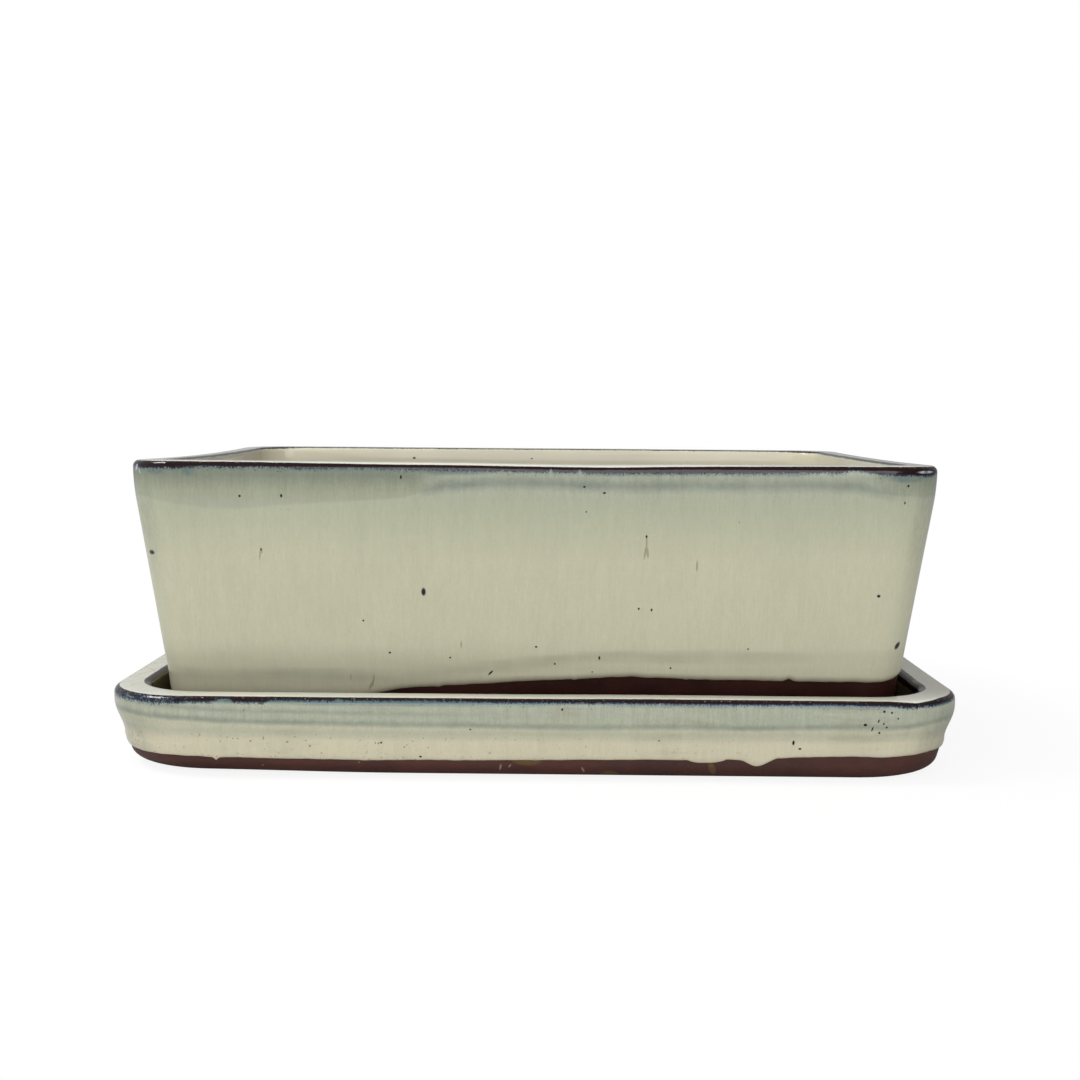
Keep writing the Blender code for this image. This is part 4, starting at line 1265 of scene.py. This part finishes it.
    def surface(self):
        """A glossy skin, with soft waves all over and granules in the break line."""
        roughness = self.add(self.weigh((self.clouds, 0.015), (self.mottle, 0.01)), 0.11)
        height = self.weigh((self.clouds, 0.05), (self.noise(190.0, 2.0), 0.006))
        in_line = self.times(self.between(self.line, -0.3, 0.3), self.between(self.down, -0.5, 0.5))
        height = self.add(height, self.times(in_line, self.times(self.mottle, 0.04)))
        return self.finish(roughness, height, specular=0.36)


def pot_glaze_material(look):
    glaze = Glaze("pot_glaze", look, POT_BANDS)
    glaze.second_dip()
    glaze.tone(glaze.between(glaze.upward, 0.052, 0.040))
    glaze.break_line(POT_BLOOMS)
    glaze.rim_top()
    glaze.inside(glaze.math("ABSOLUTE", glaze.along))
    glaze.shiny_corners()
    glaze.thin_foot()
    glaze.run_end()
    glaze.dots()
    glaze.paint(glaze.times(glaze.front_marks(POT_STREAKS), 0.5), look.rust)
    glaze.paint(glaze.front_marks(POT_SPOTS), look.speck)
    glaze.paint(glaze.front_marks(POT_INNER_SPOTS, "GREATER_THAN"), look.speck)
    # Painted highlights on the rim's front corners
    painted_highlight = glaze.front_marks(POT_PAINTED_HIGHLIGHTS)
    glaze.paint(glaze.times(painted_highlight, glaze.between(glaze.mottle, -0.8, 0.4, 0.3, 0.9)), look.glint)
    return glaze.surface()


def tray_glaze_material(look):
    glaze = Glaze("tray_glaze", look, TRAY_BANDS)
    glaze.neck_and_belly()
    glaze.tone(glaze.between(glaze.down, 13.0, 17.0))
    glaze.break_line()
    glaze.rim_top()
    glaze.inside(glaze.along)
    glaze.run_end()
    glaze.pits()
    glaze.dots()
    glaze.paint(glaze.front_marks(TRAY_SPOTS), look.speck)
    return glaze.surface()


def clay_material(name, look, stains=(), scratches=(), tone=1.0):
    """Dark red-brown stoneware, with patches, pores and thin smears of glaze. A tone below 1 gives
    a darker, less glossy copy: painted shade for the pot's foot in the tray's gutter.
    """
    make = Shading(name)
    clouds = make.noise(22.0, 4.0, 0.6)
    patches = make.noise((90.0, 90.0, 140.0), 3.0, 0.6, (2.0, 7.0, 1.0))
    grit = make.noise(1700.0, 2.0, 0.6)
    darker = make.between(make.add(clouds, make.times(patches, 0.5)), -1.0, 1.2)
    make.colour = make.mix(darker, look.clay, look.dark)
    make.paint(make.between(make.add(patches, make.times(clouds, 0.6)), 1.0, 1.7, 0.0, 0.45), look.stain)
    make.colour = make.darkened(make.colour, make.add(make.times(grit, 0.06 * tone), 0.98 * tone))
    if stains:
        painted = make.front_marks(stains)
        make.paint(make.times(painted, make.between(grit, -1.2, 0.6, 0.25, 0.75)), look.stain)
        make.paint(make.times(make.front_marks(scratches), 0.45), look.scratch)
    pores = make.specks(500.0, 0.3, 0.12)
    make.paint(make.times(pores, 0.5), look.dark)
    roughness = make.add(make.times(clouds, 0.05), 0.58)
    height = make.weigh((grit, 0.02), (pores, -0.08), (patches, 0.03))
    return make.finish(roughness, height, specular=0.5 * tone ** 1.8)


# Stage

FLOOR_LEVEL = -0.0002
FLOOR_FADE = (0.16, 0.28)  # distances from the middle between which the floor's shade fades to white
FLOOR_GREY = (0.18, 0.18, 0.18, 1.0)
FLOOR_GLOW = 0.86
PAPER = (0.80, 0.80, 0.79, 1.0)
SKY_TINT = (0.97, 0.985, 1.0, 1.0)
SKY_LEFT, SKY_RIGHT = 1.45, 0.55  # how bright the sky is at either side, as shares of its strength
WHITE = (1.0, 1.0, 1.0, 1.0)
LAMP_TARGET = (0.0, 0.0, 0.06)
KEY_PLACE, KEY_SIZE = (-1.0, -0.15, 1.35), 0.5
FILL_PLACE, FILL_SIZE = (0.2, -1.75, 0.55), 1.3


def pale_floor_material():
    """Pale surface that the camera sees near white, but that lights the object like plain pale paper."""
    material = bpy.data.materials.new("pale_floor")
    material.use_nodes = True
    material.node_tree.nodes.clear()
    make = Nodes(material.node_tree)
    paper = make.node("BsdfDiffuse", {"Color": PAPER})
    soft = make.node("BsdfDiffuse", {"Color": FLOOR_GREY})
    glow = make.node("Emission", {"Strength": FLOOR_GLOW})
    both = make.node("AddShader", {0: soft.outputs[0], 1: glow.outputs[0]})
    away = make.node("VectorMath", {0: make.node("TexCoord").outputs["Object"]}, operation="LENGTH")
    near, far = FLOOR_FADE
    fade = make.node("MapRange", {"Value": away.outputs["Value"], "From Min": near, "From Max": far})
    white = make.node("Emission")
    seen = make.node("MixShader", {"Fac": fade.outputs[0], 1: both.outputs[0], 2: white.outputs[0]})
    camera_ray = make.node("LightPath").outputs["Is Camera Ray"]
    choice = make.node("MixShader", {"Fac": camera_ray, 1: paper.outputs[0], 2: seen.outputs[0]})
    make.node("OutputMaterial", {"Surface": choice.outputs[0]})
    return material


def add_floor(width):
    mesh = bmesh.new()
    bmesh.ops.create_grid(mesh, x_segments=2, y_segments=2, size=width / 2)
    data = bpy.data.meshes.new("floor")
    mesh.to_mesh(data)
    mesh.free()
    data.materials.append(pale_floor_material())
    floor = bpy.data.objects.new("floor", data)
    bpy.context.scene.collection.objects.link(floor)
    floor.location.z = FLOOR_LEVEL


def add_world(strength):
    """Even light from all round, stronger from the left, that the camera sees as white."""
    world = bpy.data.worlds.new("studio")
    bpy.context.scene.world = world
    world.use_nodes = True
    make = Nodes(world.node_tree)
    way = make.node("SeparateXYZ", {0: make.node("TexCoord").outputs["Generated"]})
    across = make.node("MapRange", {
        "Value": way.outputs["X"], "From Min": -1.0,
        "To Min": strength * SKY_LEFT, "To Max": strength * SKY_RIGHT,
    })
    sky = make.tree.nodes["Background"]
    make.feed(sky.inputs["Color"], SKY_TINT)
    make.feed(sky.inputs["Strength"], across.outputs[0])
    white = make.node("Background", {"Color": WHITE})
    camera_ray = make.node("LightPath").outputs["Is Camera Ray"]
    choice = make.node("MixShader", {"Fac": camera_ray, 1: sky.outputs[0], 2: white.outputs[0]})
    make.feed(make.tree.nodes["World Output"].inputs["Surface"], choice.outputs[0])


def add_lamp(name, place, size, power):
    data = bpy.data.lights.new(name, "AREA")
    data.shape = "DISK"
    data.size = size
    data.energy = power
    lamp = bpy.data.objects.new(name, data)
    bpy.context.scene.collection.objects.link(lamp)
    lamp.location = place
    lamp.rotation_euler = (Vector(LAMP_TARGET) - Vector(place)).to_track_quat("-Z", "Y").to_euler()


def add_camera(stage):
    data = bpy.data.cameras.new("camera")
    data.lens = stage.lens
    data.sensor_width = 36.0
    camera = bpy.data.objects.new("camera", data)
    bpy.context.scene.collection.objects.link(camera)
    forward = Vector((
        math.sin(stage.camera_yaw) * math.cos(stage.camera_pitch),
        math.cos(stage.camera_yaw) * math.cos(stage.camera_pitch),
        -math.sin(stage.camera_pitch),
    ))
    level = Vector((math.cos(stage.camera_yaw), -math.sin(stage.camera_yaw), 0.0))
    above = level.cross(forward)
    right = level * math.cos(stage.camera_roll) + above * math.sin(stage.camera_roll)
    up = above * math.cos(stage.camera_roll) - level * math.sin(stage.camera_roll)
    turn = Matrix((right, up, -forward)).transposed()
    camera.matrix_world = Matrix.Translation(stage.camera_place) @ turn.to_4x4()
    bpy.context.scene.camera = camera


# Operators


class BONSAI_OT_stage(bpy.types.Operator):
    """Sets the camera, the lamps and the pale floor"""
    bl_idname = "bonsai.stage"
    bl_label = "Set the Stage"

    def execute(self, context):
        stage = context.scene.bonsai_stage
        context.scene.view_settings.view_transform = "Standard"
        add_world(stage.sky)
        add_floor(stage.floor_size)
        add_lamp("key_lamp", KEY_PLACE, KEY_SIZE, stage.key)
        add_lamp("fill_lamp", FILL_PLACE, FILL_SIZE, stage.fill)
        add_camera(stage)
        return {"FINISHED"}


class BONSAI_OT_tray_clay(bpy.types.Operator):
    """Models the tray's clay body"""
    bl_idname = "bonsai.tray_clay"
    bl_label = "Add Tray Clay"

    def execute(self, context):
        scene = context.scene
        mesh = tray_clay_mesh(Tray(scene.bonsai_tray), scene.bonsai_glaze)
        material = clay_material("tray_clay", scene.bonsai_clay, CLAY_STAINS, CLAY_SCRATCHES)
        finish_piece("tray_clay_fine", mesh, material, "tray", "tray_body")
        return {"FINISHED"}


class BONSAI_OT_tray_glaze(bpy.types.Operator):
    """Models the tray's coat of glaze"""
    bl_idname = "bonsai.tray_glaze"
    bl_label = "Add Tray Glaze"

    def execute(self, context):
        scene = context.scene
        mesh = tray_glaze_mesh(Tray(scene.bonsai_tray), scene.bonsai_glaze)
        material = tray_glaze_material(scene.bonsai_glaze)
        finish_piece("tray_glaze_fine", mesh, material, "tray", "tray_glaze")
        return {"FINISHED"}


class BONSAI_OT_pot_clay(bpy.types.Operator):
    """Models the pot's clay body"""
    bl_idname = "bonsai.pot_clay"
    bl_label = "Add Pot Clay"

    def execute(self, context):
        scene = context.scene
        mesh = pot_clay_mesh(Pot(scene.bonsai_pot), scene.bonsai_glaze)
        material = clay_material("pot_clay", scene.bonsai_clay, tone=scene.bonsai_clay.pot_tone)
        finish_piece("pot_clay_fine", mesh, material, "pot", "pot_body")
        return {"FINISHED"}


class BONSAI_OT_pot_glaze(bpy.types.Operator):
    """Models the pot's coat of glaze"""
    bl_idname = "bonsai.pot_glaze"
    bl_label = "Add Pot Glaze"

    def execute(self, context):
        scene = context.scene
        mesh = pot_glaze_mesh(Pot(scene.bonsai_pot), scene.bonsai_glaze)
        material = pot_glaze_material(scene.bonsai_glaze)
        finish_piece("pot_glaze_fine", mesh, material, "pot", "pot_glaze")
        return {"FINISHED"}


class BONSAI_PT_pot(bpy.types.Panel):
    bl_label = "Bonsai Pot"
    bl_space_type = "VIEW_3D"
    bl_region_type = "UI"
    bl_category = "Bonsai Pot"

    def draw(self, context):
        for operator in OPERATORS:
            self.layout.operator(operator.bl_idname)
        for title, settings in GROUPS.items():
            box = self.layout.box()
            box.label(text=title.replace("bonsai_", "").title())
            group = getattr(context.scene, title)
            for name in settings.__annotations__:
                box.prop(group, name)


GROUPS = {
    "bonsai_pot": PotSizes,
    "bonsai_tray": TraySizes,
    "bonsai_glaze": GlazeLook,
    "bonsai_clay": ClayLook,
    "bonsai_stage": StageSettings,
}
OPERATORS = (
    BONSAI_OT_stage, BONSAI_OT_tray_clay, BONSAI_OT_tray_glaze, BONSAI_OT_pot_clay, BONSAI_OT_pot_glaze
)


def register():
    for made in (*GROUPS.values(), *OPERATORS, BONSAI_PT_pot):
        bpy.utils.register_class(made)
    for name, group in GROUPS.items():
        setattr(bpy.types.Scene, name, bpy.props.PointerProperty(type=group))


def unregister():
    for name in GROUPS:
        delattr(bpy.types.Scene, name)
    for made in reversed((*GROUPS.values(), *OPERATORS, BONSAI_PT_pot)):
        bpy.utils.unregister_class(made)


def main():
    register()
    bpy.ops.bonsai.stage()
    bpy.ops.bonsai.tray_clay()
    bpy.ops.bonsai.tray_glaze()
    bpy.ops.bonsai.pot_clay()
    bpy.ops.bonsai.pot_glaze()


if __name__ == "__main__":
    main()
